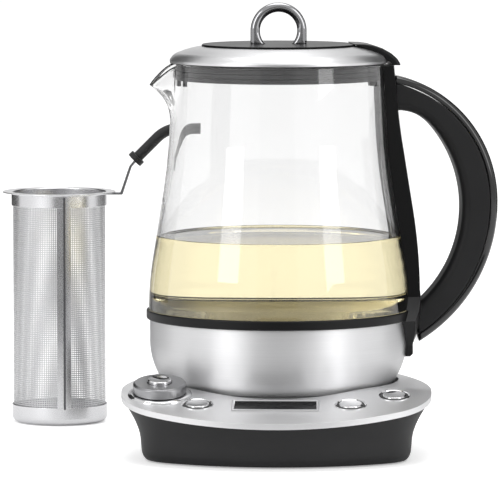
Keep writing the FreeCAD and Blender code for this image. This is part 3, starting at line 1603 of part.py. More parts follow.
def make_strainer():
    inner = "strainer_radius - strainer_sheet"
    cup = new_body("strainer_cup")
    revolve(cup, [
        ("0", "0"),
        ("strainer_radius - strainer_round", "0"),
        ("strainer_radius", "strainer_round", "strainer_round"),
        ("strainer_radius", "strainer_cup_height"),
        (inner, "strainer_cup_height"),
        (inner, "strainer_round"),
        ("strainer_radius - strainer_round", "strainer_sheet", "right strainer_round - strainer_sheet"),
        ("0", "strainer_sheet"),
    ])
    keep("strainer_cup", cup)

    mesh = new_body("strainer_mesh")
    revolve(mesh, [
        (inner + " - strainer_sheet", "strainer_cup_height - strainer_lap"),
        (inner, "strainer_cup_height - strainer_lap"),
        (inner, "strainer_band_height + strainer_lap"),
        (inner + " - strainer_sheet", "strainer_band_height + strainer_lap"),
    ])
    windows = new_sketch(mesh, "mesh_windows", "YZ_Plane")
    rows = 8
    bar = "0.5*mesh_bar"
    for row in range(rows):
        low_share = "%g" % (1 - row / rows)
        high_share = "%g" % (row / rows)
        next_low = "%g" % (1 - (row + 1) / rows)
        next_high = "%g" % ((row + 1) / rows)
        bottom = low_share + "*strainer_cup_height + " + high_share + "*strainer_band_height + " + bar
        top = next_low + "*strainer_cup_height + " + next_high + "*strainer_band_height - " + bar
        draw_rectangle(windows, "-0.5*mesh_window", bottom, "0.5*mesh_window", top)
    cut = cut_through(mesh, windows, turned=True)
    doc.recompute()
    pattern = mesh.newObject("PartDesign::PolarPattern", "mesh_window_rows")
    pattern.Originals = [cut]
    pattern.Axis = (windows, ["V_Axis"])
    pattern.Angle = 360
    pattern.Occurrences = 12
    mesh.Tip = pattern
    keep("strainer_mesh", mesh)

    rim = new_body("strainer_rim")
    revolve(rim, [
        (inner, "strainer_band_height"),
        ("strainer_radius", "strainer_band_height"),
        ("strainer_radius", "strainer_top_height - strainer_sheet"),
        ("strainer_flange_radius", "strainer_top_height - strainer_sheet"),
        ("strainer_flange_radius", "strainer_top_height"),
        (inner, "strainer_top_height"),
    ])
    keep("strainer_rim", rim)

    seam = new_body("strainer_seam")
    revolve(seam, [
        (inner, "strainer_cup_height"),
        (inner + " + seam_thickness", "strainer_cup_height"),
        (inner + " + seam_thickness", "strainer_band_height"),
        (inner, "strainer_band_height"),
    ], angle="seam_width_angle")
    seam.Placement = Placement(Vector(), Rotation(Vector(0, 0, 1), 1))
    keep("strainer_seam", seam)

    strip = new_body("strainer_handle_strip")
    side_view = new_sketch(strip, "strip_side", "XZ_Plane")
    low = "strip_low_height"
    draw_path(side_view, [
        ("strainer_radius", low + " - strip_thickness"),
        ("strip_out_x", low + " - strip_thickness"),
        ("strip_high_x + strip_thickness", "strip_high_height"),
        ("strip_end_x + strip_thickness", "strip_end_height"),
        ("strip_end_x", "strip_end_height + strip_thickness"),
        ("strip_high_x", "strip_high_height + 0.5*strip_thickness"),
        ("strip_out_x - strip_thickness", low),
        ("strainer_radius", low),
    ])
    extrude(strip, side_view, "strip_width", symmetric=True)
    keep("strainer_handle_strip", strip)

    grip = new_body("strainer_grip_bar")
    sweep(grip, [
        ("grip_start_x", "grip_start_height"),
        ("grip_bend_x", "grip_bend_height"),
        ("grip_flat_x", "grip_flat_height", "right grip_bend_arc"),
        ("grip_end_x", "grip_flat_height"),
    ], "grip_tube")
    sweep(grip, [
        ("grip_start_x", "grip_start_height"),
        ("grip_start_x + grip_collar_length", "grip_start_height + grip_collar_length"),
    ], "grip_collar_radius", "collar")
    put(grip, "strainer_x", "strainer_y", "0")
    put(strip, "strainer_x", "strainer_y", "0")
    keep("strainer_grip", combine("Cut", "strainer_grip", grip, strip))

    for thing in (cup, mesh, rim, seam):
        put(thing, "strainer_x", "strainer_y", "0")
    seam.setExpression("Placement.Rotation.Angle", "sizes.seam_turn_angle")


make_base()
make_feet()
make_gland()
make_connector()
make_knob()
make_buttons()
make_display()
make_boards()
make_glass()
make_bowl()
make_handle()
make_lid()
make_strainer()

# Check and export

doc.recompute()
faults = []
for thing in doc.Objects:
    if "Invalid" in thing.State or "Error" in thing.State:
        faults.append("%s: %s" % (thing.Name, thing.State))
for name, piece in pieces.items():
    if piece.Shape.isNull() or not piece.Shape.isValid() or not piece.Shape.Solids:
        faults.append(name + ": no valid solid")
if faults:
    raise SystemExit("\n".join(faults))
for name, piece in pieces.items():
    piece.Shape.exportStep("parts/%s.step" % name)
    print("%-24s %2d solids %10.1f mm3" % (name, len(piece.Shape.Solids), piece.Shape.Volume))
print(len(pieces), "sub-parts")
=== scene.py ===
import json
import math

import bmesh
import bpy
import numpy as np
from mathutils import Matrix, Vector

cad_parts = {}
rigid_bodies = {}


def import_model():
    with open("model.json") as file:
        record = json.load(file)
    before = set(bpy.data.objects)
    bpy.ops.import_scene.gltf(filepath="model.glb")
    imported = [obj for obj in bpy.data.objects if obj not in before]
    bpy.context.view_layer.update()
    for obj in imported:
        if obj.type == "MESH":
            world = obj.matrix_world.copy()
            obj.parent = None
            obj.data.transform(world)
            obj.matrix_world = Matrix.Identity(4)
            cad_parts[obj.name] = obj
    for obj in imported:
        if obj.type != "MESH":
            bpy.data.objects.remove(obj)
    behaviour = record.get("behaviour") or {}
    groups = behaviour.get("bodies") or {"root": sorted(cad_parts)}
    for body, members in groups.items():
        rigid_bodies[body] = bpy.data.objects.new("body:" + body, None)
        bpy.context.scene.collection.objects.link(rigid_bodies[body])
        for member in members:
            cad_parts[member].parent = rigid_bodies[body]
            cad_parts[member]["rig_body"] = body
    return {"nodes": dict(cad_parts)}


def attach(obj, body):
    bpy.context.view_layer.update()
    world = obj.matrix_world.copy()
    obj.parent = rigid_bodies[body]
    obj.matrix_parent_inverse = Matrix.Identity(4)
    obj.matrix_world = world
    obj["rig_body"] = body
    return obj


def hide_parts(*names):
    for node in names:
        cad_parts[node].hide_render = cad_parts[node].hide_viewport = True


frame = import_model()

# Automatic tea maker. Sizes are in millimetres until a mesh is made.
mm = 0.001
jugTurn = math.radians(7)  # the jug stands a little turned on its base
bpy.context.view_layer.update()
print("frame loaded:", len(frame["nodes"]), "nodes")


def addObject(name, data):
    thing = bpy.data.objects.new(name, data)
    bpy.context.scene.collection.objects.link(thing)
    return thing


# Camera

shot = {"distance": 2750, "height": 350, "side": 1.5, "lens": 360, "aimX": -15.7, "aimZ": 115.7}
cameraData = bpy.data.cameras.new("camera")
cameraData.lens = shot["lens"]
cameraData.clip_start, cameraData.clip_end = 0.1, 50
camera = addObject("camera", cameraData)
bpy.context.scene.camera = camera
aim = Vector((shot["aimX"], 0, shot["aimZ"])) * mm
sideAngle = math.radians(shot["side"])
camera.location = Vector((
    shot["aimX"] + shot["distance"] * math.sin(sideAngle),
    -shot["distance"] * math.cos(sideAngle),
    shot["height"],
)) * mm
camera.rotation_euler = (aim - camera.location).to_track_quat("-Z", "Y").to_euler()
bpy.context.scene.view_settings.view_transform = "Standard"


# Materials

def linear(hexText):
    # sRGB hex to linear colour with full alpha
    parts = [int(hexText[i:i + 2], 16) / 255 for i in (0, 2, 4)]
    return tuple(c / 12.92 if c <= 0.04045 else ((c + 0.055) / 1.055) ** 2.4 for c in parts) + (1.0,)


def darker(hexText, share):
    return tuple(c * share for c in linear(hexText)[:3]) + (1.0,)


def setInputs(tree, node, inputs):
    # a plain value is set on the node's socket, and another node's output is linked to it
    for name, value in inputs.items():
        if isinstance(value, bpy.types.NodeSocket):
            tree.links.new(value, node.inputs[name])
        else:
            node.inputs[name].default_value = value


def addNode(tree, kind, settings=None, inputs=None):
    node = tree.nodes.new(kind)
    for name, value in (settings or {}).items():
        setattr(node, name, value)
    setInputs(tree, node, inputs or {})
    return node


def startMaterial(name):
    material = bpy.data.materials.new(name)
    material.use_nodes = True
    tree = material.node_tree
    return material, tree, tree.nodes["Principled BSDF"]


def objectPlace(tree):
    return addNode(tree, "ShaderNodeTexCoord").outputs["Object"]


def band(tree, value, low, high):
    # 0..1 noise to a range
    node = addNode(tree, "ShaderNodeMapRange", inputs={"Value": value, "To Min": low, "To Max": high})
    return node.outputs["Result"]


def tint(tree, factor, dark, light):
    node = addNode(tree, "ShaderNodeMix", {"data_type": "RGBA"})
    setInputs(tree, node, {0: factor, 6: dark, 7: light})
    return node.outputs[2]


def mouldedPlastic(name, dark, light, roughness, depth=0.03, coat=0.0, shine=0.5):
    # moulded ABS or nylon: fine spark-eroded grain and slight cloudiness in the colour
    grainMm, cloudMm = 0.35, 18
    material, tree, shader = startMaterial(name)
    place = objectPlace(tree)
    grain = addNode(tree, "ShaderNodeTexNoise", inputs={
        "Vector": place, "Scale": 1000 / grainMm, "Detail": 2.0})
    cloud = addNode(tree, "ShaderNodeTexNoise", inputs={
        "Vector": place, "Scale": 1000 / cloudMm, "Detail": 3.0})
    bump = addNode(tree, "ShaderNodeBump", inputs={
        "Height": grain.outputs["Fac"], "Strength": depth * 4, "Distance": depth * mm})
    setInputs(tree, shader, {
        "Base Color": tint(tree, cloud.outputs["Fac"], linear(dark), linear(light)),
        "Roughness": band(tree, cloud.outputs["Fac"], roughness - 0.04, roughness + 0.05),
        "IOR": 1.52, "Specular IOR Level": shine, "Normal": bump.outputs["Normal"],
        "Coat Weight": coat, "Coat Roughness": 0.05})
    return material


def brushedSteel(name, hexText, roughness, lathed=True, stretch=0.0):
    # steel or aluminium brushed on a lathe or straight along X: fine lines that stretch the reflections;
    # they are drawn a few times coarser than real ones, so that they show
    lineMm, lineLengthMm, cloudMm = 0.16, 33.3, 22.2
    linesPerRadian = 2.2
    material, tree, shader = startMaterial(name)
    place = objectPlace(tree)
    across = 1000 / lineMm
    if lathed:
        axes = addNode(tree, "ShaderNodeSeparateXYZ", inputs={"Vector": place})
        angle = addNode(tree, "ShaderNodeMath", {"operation": "ARCTAN2"}, {
            0: axes.outputs["Y"], 1: axes.outputs["X"]})
        squareX = addNode(tree, "ShaderNodeMath", {"operation": "MULTIPLY"}, {
            0: axes.outputs["X"], 1: axes.outputs["X"]})
        square = addNode(tree, "ShaderNodeMath", {"operation": "MULTIPLY_ADD"}, {
            0: axes.outputs["Y"], 1: axes.outputs["Y"], 2: squareX.outputs[0]})
        radius = addNode(tree, "ShaderNodeMath", {"operation": "SQRT"}, {0: square.outputs[0]})
        unrolled = addNode(tree, "ShaderNodeCombineXYZ", inputs={
            "X": angle.outputs[0], "Y": radius.outputs[0], "Z": axes.outputs["Z"]}).outputs[0]
        scale = (linesPerRadian, across, across)
    else:
        unrolled = place
        scale = (1000 / lineLengthMm, across, across)
    mapped = addNode(tree, "ShaderNodeMapping", inputs={"Vector": unrolled, "Scale": scale})
    lines = addNode(tree, "ShaderNodeTexNoise", inputs={
        "Vector": mapped.outputs[0], "Scale": 1.0, "Detail": 4.0, "Roughness": 0.65})
    cloud = addNode(tree, "ShaderNodeTexNoise", inputs={
        "Vector": place, "Scale": 1000 / cloudMm, "Detail": 2.0})
    bump = addNode(tree, "ShaderNodeBump", inputs={
        "Height": lines.outputs["Fac"], "Strength": 0.25, "Distance": 0.02 * mm})
    setInputs(tree, shader, {
        "Base Color": tint(tree, lines.outputs["Fac"], darker(hexText, 0.86), linear(hexText)),
        "Metallic": 1.0,
        "Roughness": band(tree, cloud.outputs["Fac"], roughness - 0.04, roughness + 0.06),
        "Anisotropic": stretch, "Anisotropic Rotation": 0.25, "Normal": bump.outputs["Normal"]})
    return material


def polishedMetal(name, hexText, roughness=0.08):
    # plated or polished metal: clean reflections, faint wiping haze
    hazeMm = 8.33
    material, tree, shader = startMaterial(name)
    haze = addNode(tree, "ShaderNodeTexNoise", inputs={
        "Vector": objectPlace(tree), "Scale": 1000 / hazeMm, "Detail": 4.0})
    setInputs(tree, shader, {
        "Base Color": linear(hexText), "Metallic": 1.0,
        "Roughness": band(tree, haze.outputs["Fac"], roughness * 0.6, roughness * 1.5)})
    return material


def clearGlass(name, hexText, ior=1.5):
    # blown borosilicate glass, or the liquid in it: clear, with a slight waviness from the mould
    waveMm = 45.5
    material, tree, shader = startMaterial(name)
    wave = addNode(tree, "ShaderNodeTexNoise", inputs={
        "Vector": objectPlace(tree), "Scale": 1000 / waveMm, "Detail": 1.0})
    bump = addNode(tree, "ShaderNodeBump", inputs={
        "Height": wave.outputs["Fac"], "Strength": 0.05, "Distance": 0.2 * mm})
    setInputs(tree, shader, {
        "Base Color": linear(hexText), "Transmission Weight": 1.0, "Roughness": 0.0, "IOR": ior,
        "Specular IOR Level": 0.08, "Normal": bump.outputs["Normal"]})
    return material


def softRubber(name, hexText, roughness=0.65):
    # moulded silicone or rubber: matte, with dust-fine grain
    grainMm = 0.25
    material, tree, shader = startMaterial(name)
    grain = addNode(tree, "ShaderNodeTexNoise", inputs={
        "Vector": objectPlace(tree), "Scale": 1000 / grainMm, "Detail": 2.0})
    bump = addNode(tree, "ShaderNodeBump", inputs={
        "Height": grain.outputs["Fac"], "Strength": 0.2, "Distance": 0.02 * mm})
    setInputs(tree, shader, {
        "Base Color": tint(tree, grain.outputs["Fac"], darker(hexText, 0.8), linear(hexText)),
        "Roughness": roughness, "Normal": bump.outputs["Normal"], "Sheen Weight": 0.15})
    return material


finishes = {
    "housing": mouldedPlastic("moulded ABS housing", "1b1b1c", "212122", 0.5, shine=0.32),
    "blackPlastic": mouldedPlastic("moulded black nylon", "0c0c0d", "121213", 0.42, shine=0.22),
    "strapPlastic": mouldedPlastic("black glass filled nylon", "070708", "0c0c0d", 0.3, shine=0.22),
    "gripPlastic": mouldedPlastic("soft black grip plastic", "141415", "1b1b1c", 0.5, shine=0.28),
    "glossBlack": mouldedPlastic("high gloss black ABS", "040405", "070708", 0.14, depth=0.002, coat=0.8,
                                 shine=0.3),
    "discBlack": mouldedPlastic("satin black lacquer", "060607", "0a0a0b", 0.3, depth=0.003, shine=0.1),
    "trimPlastic": mouldedPlastic("dark trim plastic", "0e0e0f", "131314", 0.38, shine=0.22),
    "greyPlastic": mouldedPlastic("grey moulded ABS", "77787a", "858688", 0.4),
    "whitePlastic": mouldedPlastic("white polyamide", "d8d8d2", "e4e4de", 0.5),
    "bowlSteel": brushedSteel("lathe brushed stainless steel", "f2f2f3", 0.5, stretch=0.8),
    "domeSteel": brushedSteel("lathe brushed lid steel", "eaeaeb", 0.38, stretch=0.5),
    "plateSteel": brushedSteel("straight brushed stainless steel", "ececed", 0.42, lathed=False),
    "knobSteel": brushedSteel("turned grey aluminium", "a4a4a6", 0.3, lathed=False),
    # painted shadow: dark steel for the strip beside the strainer seam's fold, standing in for the shadow
    # line there
    "seamShadowSteel": brushedSteel("seam shadow steel", "6c6c6f", 0.4),
    "bareSteel": brushedSteel("drawn stainless steel", "e6e6e8", 0.24),
    "meshSteel": brushedSteel("woven stainless steel", "d8d8da", 0.38),
    "stripSteel": polishedMetal("rolled steel strip", "8f8f91", 0.2),
    "ringChrome": polishedMetal("heavy chrome plating", "a6a6a8", 0.05),
    "chrome": polishedMetal("polished stainless steel", "e6e6e7"),
    "brass": polishedMetal("contact brass", "c9a35a", 0.2),
    "aluminium": brushedSteel("cast aluminium", "bdbec0", 0.45),
    "glass": clearGlass("borosilicate glass", "f4f4f4"),
    "tea": clearGlass("pale amber tea", "f5ebc3", ior=1.333),
    "display": mouldedPlastic("smoked display glass", "060607", "09090a", 0.22, depth=0.001, shine=0.1),
    "rubber": softRubber("black silicone rubber", "131314"),
    "greyRubber": softRubber("grey silicone seal", "2a2a2c", 0.45),
    "board": mouldedPlastic("green board laminate", "16402a", "1e5236", 0.35),
}
print("materials made:", len(finishes))

nodeFinish = {
    "base_housing": "housing", "base_top_plate": "plateSteel", "base_bottom_cover": "blackPlastic",
    "foot_ring": "rubber", "front_feet": "rubber", "cover_screws": "chrome", "cord_gland": "rubber",
    "power_post": "blackPlastic", "post_contacts": "brass", "jug_socket": "blackPlastic",
    "knob_seat_ring": "chrome", "knob_body": "knobSteel", "start_button": "chrome",
    "rotary_encoder": "greyPlastic", "left_button": "chrome", "right_button": "chrome",
    "side_button": "chrome", "button_bezels": "chrome", "tact_switches": "blackPlastic",
    "lcd_bezel": "chrome", "lcd_window": "display", "lcd_module": "greyPlastic",
    "control_board": "board", "power_board": "board", "heater_relay": "whitePlastic",
    "glass_jug": "glass", "steel_bowl": "bowlSteel", "trim_ring": "trimPlastic",
    "heater_plate": "bowlSteel", "bottom_gasket": "greyRubber", "heat_spreader": "aluminium",
    "heating_element": "aluminium", "temperature_sensor": "chrome", "thermostat": "whitePlastic",
    "jug_bottom_cover": "blackPlastic", "handle_strap": "strapPlastic", "grip_inner": "gripPlastic",
    "grip_outer": "glossBlack", "lid_dome": "domeSteel", "lid_top_disc": "discBlack",
    "lid_ring": "ringChrome", "lid_ring_nuts": "chrome", "lid_rear_cap": "blackPlastic",
    "lid_collar": "greyRubber", "lid_seal": "rubber", "strainer_cup": "bareSteel",
    "strainer_mesh": "meshSteel", "strainer_rim": "bareSteel", "strainer_seam": "bareSteel",
    "strainer_handle_strip": "stripSteel", "strainer_grip": "rubber",
}


# Meshes

def turned(points, angle):
    # points turned about the Z axis
    c, s = math.cos(angle), math.sin(angle)
    x, y, z = points.T
    return np.stack([c * x - s * y, s * x + c * y, z], axis=1)


def makePiece(name, points, faces, finish, body, stands=None, smooth=True, closed=True, weighted=True):
    # points in mm, faces as rows of point numbers; the piece takes the place of the nodes in stands
    mesh = bpy.data.meshes.new(name)
    mesh.from_pydata((points * mm).tolist(), [], [list(face) for face in faces])
    work = bmesh.new()
    work.from_mesh(mesh)
    bmesh.ops.remove_doubles(work, verts=work.verts, dist=0.002 * mm)
    bmesh.ops.dissolve_degenerate(work, edges=work.edges, dist=0.0005 * mm)
    if closed:
        bmesh.ops.recalc_face_normals(work, faces=work.faces)
    work.to_mesh(mesh)
    work.free()
    mesh.polygons.foreach_set("use_smooth", [smooth] * len(mesh.polygons))
    mesh.materials.append(finishes[finish])
    piece = addObject(name, mesh)
    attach(piece, body)
    if stands:
        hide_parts(*stands)
    if smooth and weighted:
        normals = piece.modifiers.new("normals", "WEIGHTED_NORMAL")
        normals.weight = 80
    return piece


def gridFaces(rows, columns, wrapRows=False, wrapColumns=True):
    # quads between neighbouring points of a rows x columns grid
    i = np.arange(rows if wrapRows else rows - 1)[:, None]
    j = np.arange(columns if wrapColumns else columns - 1)[None, :]
    i2, j2 = (i + 1) % rows, (j + 1) % columns
    quads = np.stack([i * columns + j, i * columns + j2, i2 * columns + j2, i2 * columns + j], axis=-1)
    return quads.reshape(-1, 4)


def arcPoints(start, end, radius, step=2.5):
    # short arc from start to end; a positive radius has its centre on the left of the way
    start, end = np.array(start, float), np.array(end, float)
    chord = end - start
    half = np.linalg.norm(chord) / 2
    left = np.array([-chord[1], chord[0]]) / (2 * half)
    reach = math.copysign(math.sqrt(max(radius ** 2 - half ** 2, 0)), radius)
    centre = (start + end) / 2 + left * reach
    first = math.atan2(*(start - centre)[::-1])
    last = math.atan2(*(end - centre)[::-1])
    sweep = (last - first + math.pi) % (2 * math.pi) - math.pi
    count = max(2, int(abs(math.degrees(sweep)) / step) + 1)
    angles = first + sweep * np.linspace(0, 1, count + 1)[1:]
    return centre + abs(radius) * np.stack([np.cos(angles), np.sin(angles)], axis=1)


def outline(points, edge=0.3, closed=True):
    # polyline through (r, z) points, arcs where a third number gives the radius, sharp corners eased
    line = []
    for k, point in enumerate(points):
        if len(point) == 3:
            line.extend(arcPoints(points[k - 1][:2], point[:2], point[2]).tolist())
        else:
            line.append(list(point))
    line = np.array(line, float)
    eased = []
    count = len(line)
    for k in range(count):
        here = line[k]
        if not closed and k in (0, count - 1):
            eased.append(here)
            continue
        back, ahead = line[k - 1] - here, line[(k + 1) % count] - here
        lengthBack, lengthAhead = np.linalg.norm(back), np.linalg.norm(ahead)
        if lengthBack < 1e-6 or lengthAhead < 1e-6:
            continue
        cosine = np.dot(back, ahead) / (lengthBack * lengthAhead)
        if cosine < -0.94 or here[0] < 1e-6:
            eased.append(here)
            continue
        reach = min(edge, 0.45 * lengthBack, 0.45 * lengthAhead)
        a, b = here + back / lengthBack * reach, here + ahead / lengthAhead * reach
        t = np.linspace(0, 1, 5)[:, None]
        eased.extend(((1 - t) ** 2 * a + 2 * t * (1 - t) * here + t ** 2 * b).tolist())
    return np.array(eased)


def revolved(line, count):
    # surface of revolution: x = r cos a, y = r sin a for each (r, z) of the line and each angle a
    angles = np.linspace(0, 2 * math.pi, count, endpoint=False)
    r, z = line[:, 0][:, None], np.broadcast_to(line[:, 1][:, None], (len(line), count))
    return np.stack([r * np.cos(angles), r * np.sin(angles), z], axis=-1).reshape(-1, 3)


def lathe(name, points, finish, body, stands=None, edge=0.3, count=160, place=None, closed=True):
    # the outline through the (r, z) points turned round the Z axis, then put in its place
    line = outline(points, edge, closed)
    grid = revolved(line, count)
    if place is not None:
        grid = place(grid)
    return makePiece(name, grid, gridFaces(len(line), count, wrapRows=closed), finish, body, stands)


def washer(inner, outer, low, high):
    return [(inner, low), (outer, low), (outer, high), (inner, high)]


panel = {"height": 38.0, "bendY": -50.0, "fall": 0.2186}
panelTilt = math.atan(panel["fall"])


def onPanel(x, y):
    # carries local points to a place on the sloped panel, square to it
    base = np.array([x, y, panel["height"] + panel["fall"] * (y - panel["bendY"])])
    c, s = math.cos(panelTilt), math.sin(panelTilt)
    turn = np.array([[1, 0, 0], [0, c, -s], [0, s, c]])
    return lambda points: points @ turn.T + base


def resample(line, count):
    # the same line with points evenly spaced along it
    steps = np.linalg.norm(np.diff(line, axis=0), axis=1)
    along = np.concatenate([[0], np.cumsum(steps)])
    wanted = np.linspace(0, along[-1], count)
    return np.stack([np.interp(wanted, along, line[:, k]) for k in range(line.shape[1])], axis=1)


def smoothCopy(node, finish, angle=35, bevel=0.0):
    # the node's own triangles, merged and shaded round, with eased edges where a bevel is given
    mesh = frame["nodes"][node].data.copy()
    mesh.name = node + "Smooth"
    work = bmesh.new()
    work.from_mesh(mesh)
    bmesh.ops.remove_doubles(work, verts=work.verts, dist=0.01 * mm)
    for face in work.faces:
        face.smooth = True
    for edge in work.edges:
        edge.smooth = edge.is_manifold and edge.calc_face_angle(0) < math.radians(angle)
    work.to_mesh(mesh)
    work.free()
    mesh.materials.clear()
    mesh.materials.append(finishes[finish])
    piece = addObject(node + "Smooth", mesh)
    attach(piece, frame["nodes"][node]["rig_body"])
    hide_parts(node)
    if bevel:
        ease = piece.modifiers.new("ease", "BEVEL")
        ease.width = bevel * mm
        ease.segments = 3
        ease.limit_method = "ANGLE"
        ease.angle_limit = math.radians(40)
        ease.harden_normals = True
    return piece


def sectionLoop(low, high, half, roundLow, roundHigh):
    # rounded rectangle from low to high along the section and to +-half along Y
    t = np.linspace(0, math.pi / 2, 7)
    corners = []
    for turn, (along, side) in enumerate(((high, 1), (low, 1), (low, -1), (high, -1))):
        radius = roundLow if along == low else roundHigh
        inward = radius if along == low else -radius
        angle = t + turn * math.pi / 2
        corners.append(np.stack([along + inward + radius * np.cos(angle),
                                 side * (half - radius) + radius * np.sin(angle)], axis=1))
    return np.concatenate(corners)


def bandPiece(name, inner, outer, loops, finish, body, node):
    # one loop per station, laid from the inner line (x, z) towards the outer one, with a fan at each end
    unit = (outer - inner) / np.linalg.norm(outer - inner, axis=1)[:, None]
    loops = np.array(loops)
    flat = inner[:, None, :] + unit[:, None, :] * loops[:, :, :1]
    grid = np.stack([flat[..., 0], loops[..., 1], flat[..., 1]], axis=-1)
    rows, count = grid.shape[:2]
    points = np.concatenate([grid.reshape(-1, 3), grid[0].mean(axis=0)[None], grid[-1].mean(axis=0)[None]])
    j = np.arange(count)
    ends = [np.stack([np.full(count, rows * count + k), start + j, start + (j + 1) % count], axis=1)
            for k, start in ((0, 0), (1, (rows - 1) * count))]
    faces = gridFaces(rows, count).tolist() + ends[0].tolist() + ends[1].tolist()
    return makePiece(name, turned(points, jugTurn), faces, finish, body, [node])


# Glass jug

glassSize = {
    "bottom": 73.2, "footRadius": 71.7, "footTop": 77.6,
    "bellyRadius": 69.6, "bellyHeight": 104.0, "bellyArc": 171.0,
    "taperRadius": 63.5, "taperHeight": 142.0,
    "neckRadius": 59.6, "neckHeight": 184.0, "neckArc": 330.0,
    "rimRadius": 58.2, "rim": 212.8, "wall": 2.3, "crown": 0.2,
    "spoutTip": 71.2, "tipHeight": 200.9, "spoutLow": 176.0, "spoutHalfAngle": 20.0,
    "rimFallPower": 1.4, "climbPower": 2.9, "around": 288, "up": 150,
}
glassLine = outline([
    (glassSize["footRadius"], glassSize["bottom"]), (glassSize["footRadius"], glassSize["footTop"]),
    (glassSize["bellyRadius"], glassSize["bellyHeight"], glassSize["bellyArc"]),
    (glassSize["taperRadius"], glassSize["taperHeight"]),
    (glassSize["neckRadius"], glassSize["neckHeight"], -glassSize["neckArc"]),
    (glassSize["rimRadius"], glassSize["rim"])], edge=0.0, closed=False)


def glassRadius(z):
    # outer radius of the wall at a height: straight foot, convex belly, taper, concave neck
    return np.interp(z, glassLine[:, 1], glassLine[:, 0])


def makeGlass():
    # radius = wall line + spout bump; the bump grows with height and fades with the angle from -X,
    # and the rim falls to the tip by the same fading
    g = glassSize
    theta = np.linspace(0, 2 * math.pi, g["around"], endpoint=False)
    share = np.linspace(0, 1, g["up"])[:, None]
    near = np.clip(1 - np.abs(theta - math.pi) / math.radians(g["spoutHalfAngle"]), 0, 1)
    near = near * near * (3 - 2 * near)
    top = g["rim"] - (g["rim"] - g["tipHeight"]) * near ** g["rimFallPower"]
    z = g["bottom"] + (top - g["bottom"])[None, :] * share
    climb = np.clip((z - g["spoutLow"]) / (g["tipHeight"] - g["spoutLow"]), 0, 1)
    reach = g["spoutTip"] - glassRadius(g["tipHeight"])
    outer = glassRadius(z) + reach * near[None, :] * climb ** g["climbPower"]
    inner = outer - g["wall"]
    wallUp = np.stack([outer * np.cos(theta), outer * np.sin(theta), z], axis=-1)
    wallDown = np.stack([inner * np.cos(theta), inner * np.sin(theta), z], axis=-1)[::-1]
    crown = (wallUp[-1] + wallDown[0]) / 2 + np.array([0, 0, g["crown"]])
    foot = (wallUp[0] + wallDown[-1]) / 2
    grid = np.concatenate([wallUp, crown[None], wallDown, foot[None]])
    points = turned(grid.reshape(-1, 3), jugTurn)
    faces = gridFaces(len(grid), g["around"], wrapRows=True)
    piece = makePiece("glassWall", points, faces, "glass", "jug", ["glass_jug"])
    return piece


makeGlass()

teaSize = {"level": 117.0, "floor": 66.3, "panRadius": 66.7, "panTop": 75.7, "wallLow": 76.2,
           "wallRows": 40, "intoGlass": 0.08, "meniscus": 0.9, "creep": 0.9, "around": 192}


def makeTea():
    # liquid that fills the jug to its level; at the glass it rises by meniscus * exp(-distance / creep)
    t = teaSize
    z = np.linspace(t["wallLow"], t["level"], t["wallRows"])
    wall = np.stack([glassRadius(z) - glassSize["wall"] + t["intoGlass"], z], axis=1)
    pan = [[0.0, t["floor"]], [t["panRadius"], t["floor"]], [t["panRadius"], t["panTop"]]]
    distance = np.array([0, 0.4, 1.0, 2.2, 4.0])
    rise = t["meniscus"] * np.exp(-distance / t["creep"])
    surface = np.stack([wall[-1, 0] - distance, t["level"] + rise], axis=1)
    line = np.concatenate([pan, wall, surface, [[0.0, t["level"]]]])
    faces = gridFaces(len(line), t["around"])
    return makePiece("teaFill", revolved(line, t["around"]), faces, "tea", "jug")


makeTea()
print("glass and tea made")


# Steel bowl, trim ring and pan

bowlSize = {"hole": 56.0, "floor": 34.9, "floorRadius": 62.0, "radius": 71.0, "sideHeight": 60.0,
            "arc": 39.5, "top": 72.0, "wall": 1.0, "heelStep": 0.7}
trimSize = {"low": 72.0, "high": 77.2, "outer": 72.9, "bore": 71.8, "seat": 70.0, "ledge": 1.2,
            "lowEase": 0.4, "topEase": 0.5, "topDrop": 0.6}
panSize = {"floor": 65.0, "radius": 68.0, "sheet": 1.2, "top": 75.5, "flange": 70.0, "flangeHeight": 70.0}


def makeBowl():
    # drawn bowl: flat floor, one arc up to the straight side, and the same a wall further in
    b = bowlSize
    inside = b["radius"] - b["wall"]
    lathe("bowlSkin", [
        (b["hole"], b["floor"]), (b["floorRadius"], b["floor"]), (b["radius"], b["sideHeight"], b["arc"]),
        (b["radius"], b["top"]), (inside, b["top"]), (inside, b["sideHeight"]),
        (b["floorRadius"] - b["heelStep"], b["floor"] + b["wall"], b["wall"] - b["arc"]),
        (b["hole"], b["floor"] + b["wall"])], "bowlSteel", "jug", ["steel_bowl"], edge=0.5, count=256)


def makeTrim():
    # moulded ring with a ledge under the glass
    t = trimSize
    lathe("trimBand", [
        (t["seat"], t["low"]), (t["outer"] - t["lowEase"], t["low"]), (t["outer"], t["low"] + t["lowEase"]),
        (t["outer"], t["high"] - t["topDrop"]), (t["outer"] - t["topEase"], t["high"]),
        (t["bore"], t["high"]), (t["bore"], t["low"] + t["ledge"]), (t["seat"], t["low"] + t["ledge"])],
        "trimPlastic", "jug", ["trim_ring"], edge=0.3, count=256)


def makePan():
    # deep drawn floor of the jug, with a flange that rests in the bowl's rim
    p = panSize
    inside, ledge = p["radius"] - p["sheet"], p["flangeHeight"] + p["sheet"]
    lathe("panSheet", [
        (0.0, p["floor"]), (p["radius"], p["floor"]), (p["radius"], p["flangeHeight"]),
        (p["flange"], p["flangeHeight"]), (p["flange"], ledge), (p["radius"], ledge),
        (p["radius"], p["top"]), (inside, p["top"]), (inside, p["floor"] + p["sheet"]),
        (0.0, p["floor"] + p["sheet"])],
        "bowlSteel", "jug", ["heater_plate"], edge=0.4, count=192, closed=False)


makeBowl()
makeTrim()
makePan()


# Lid

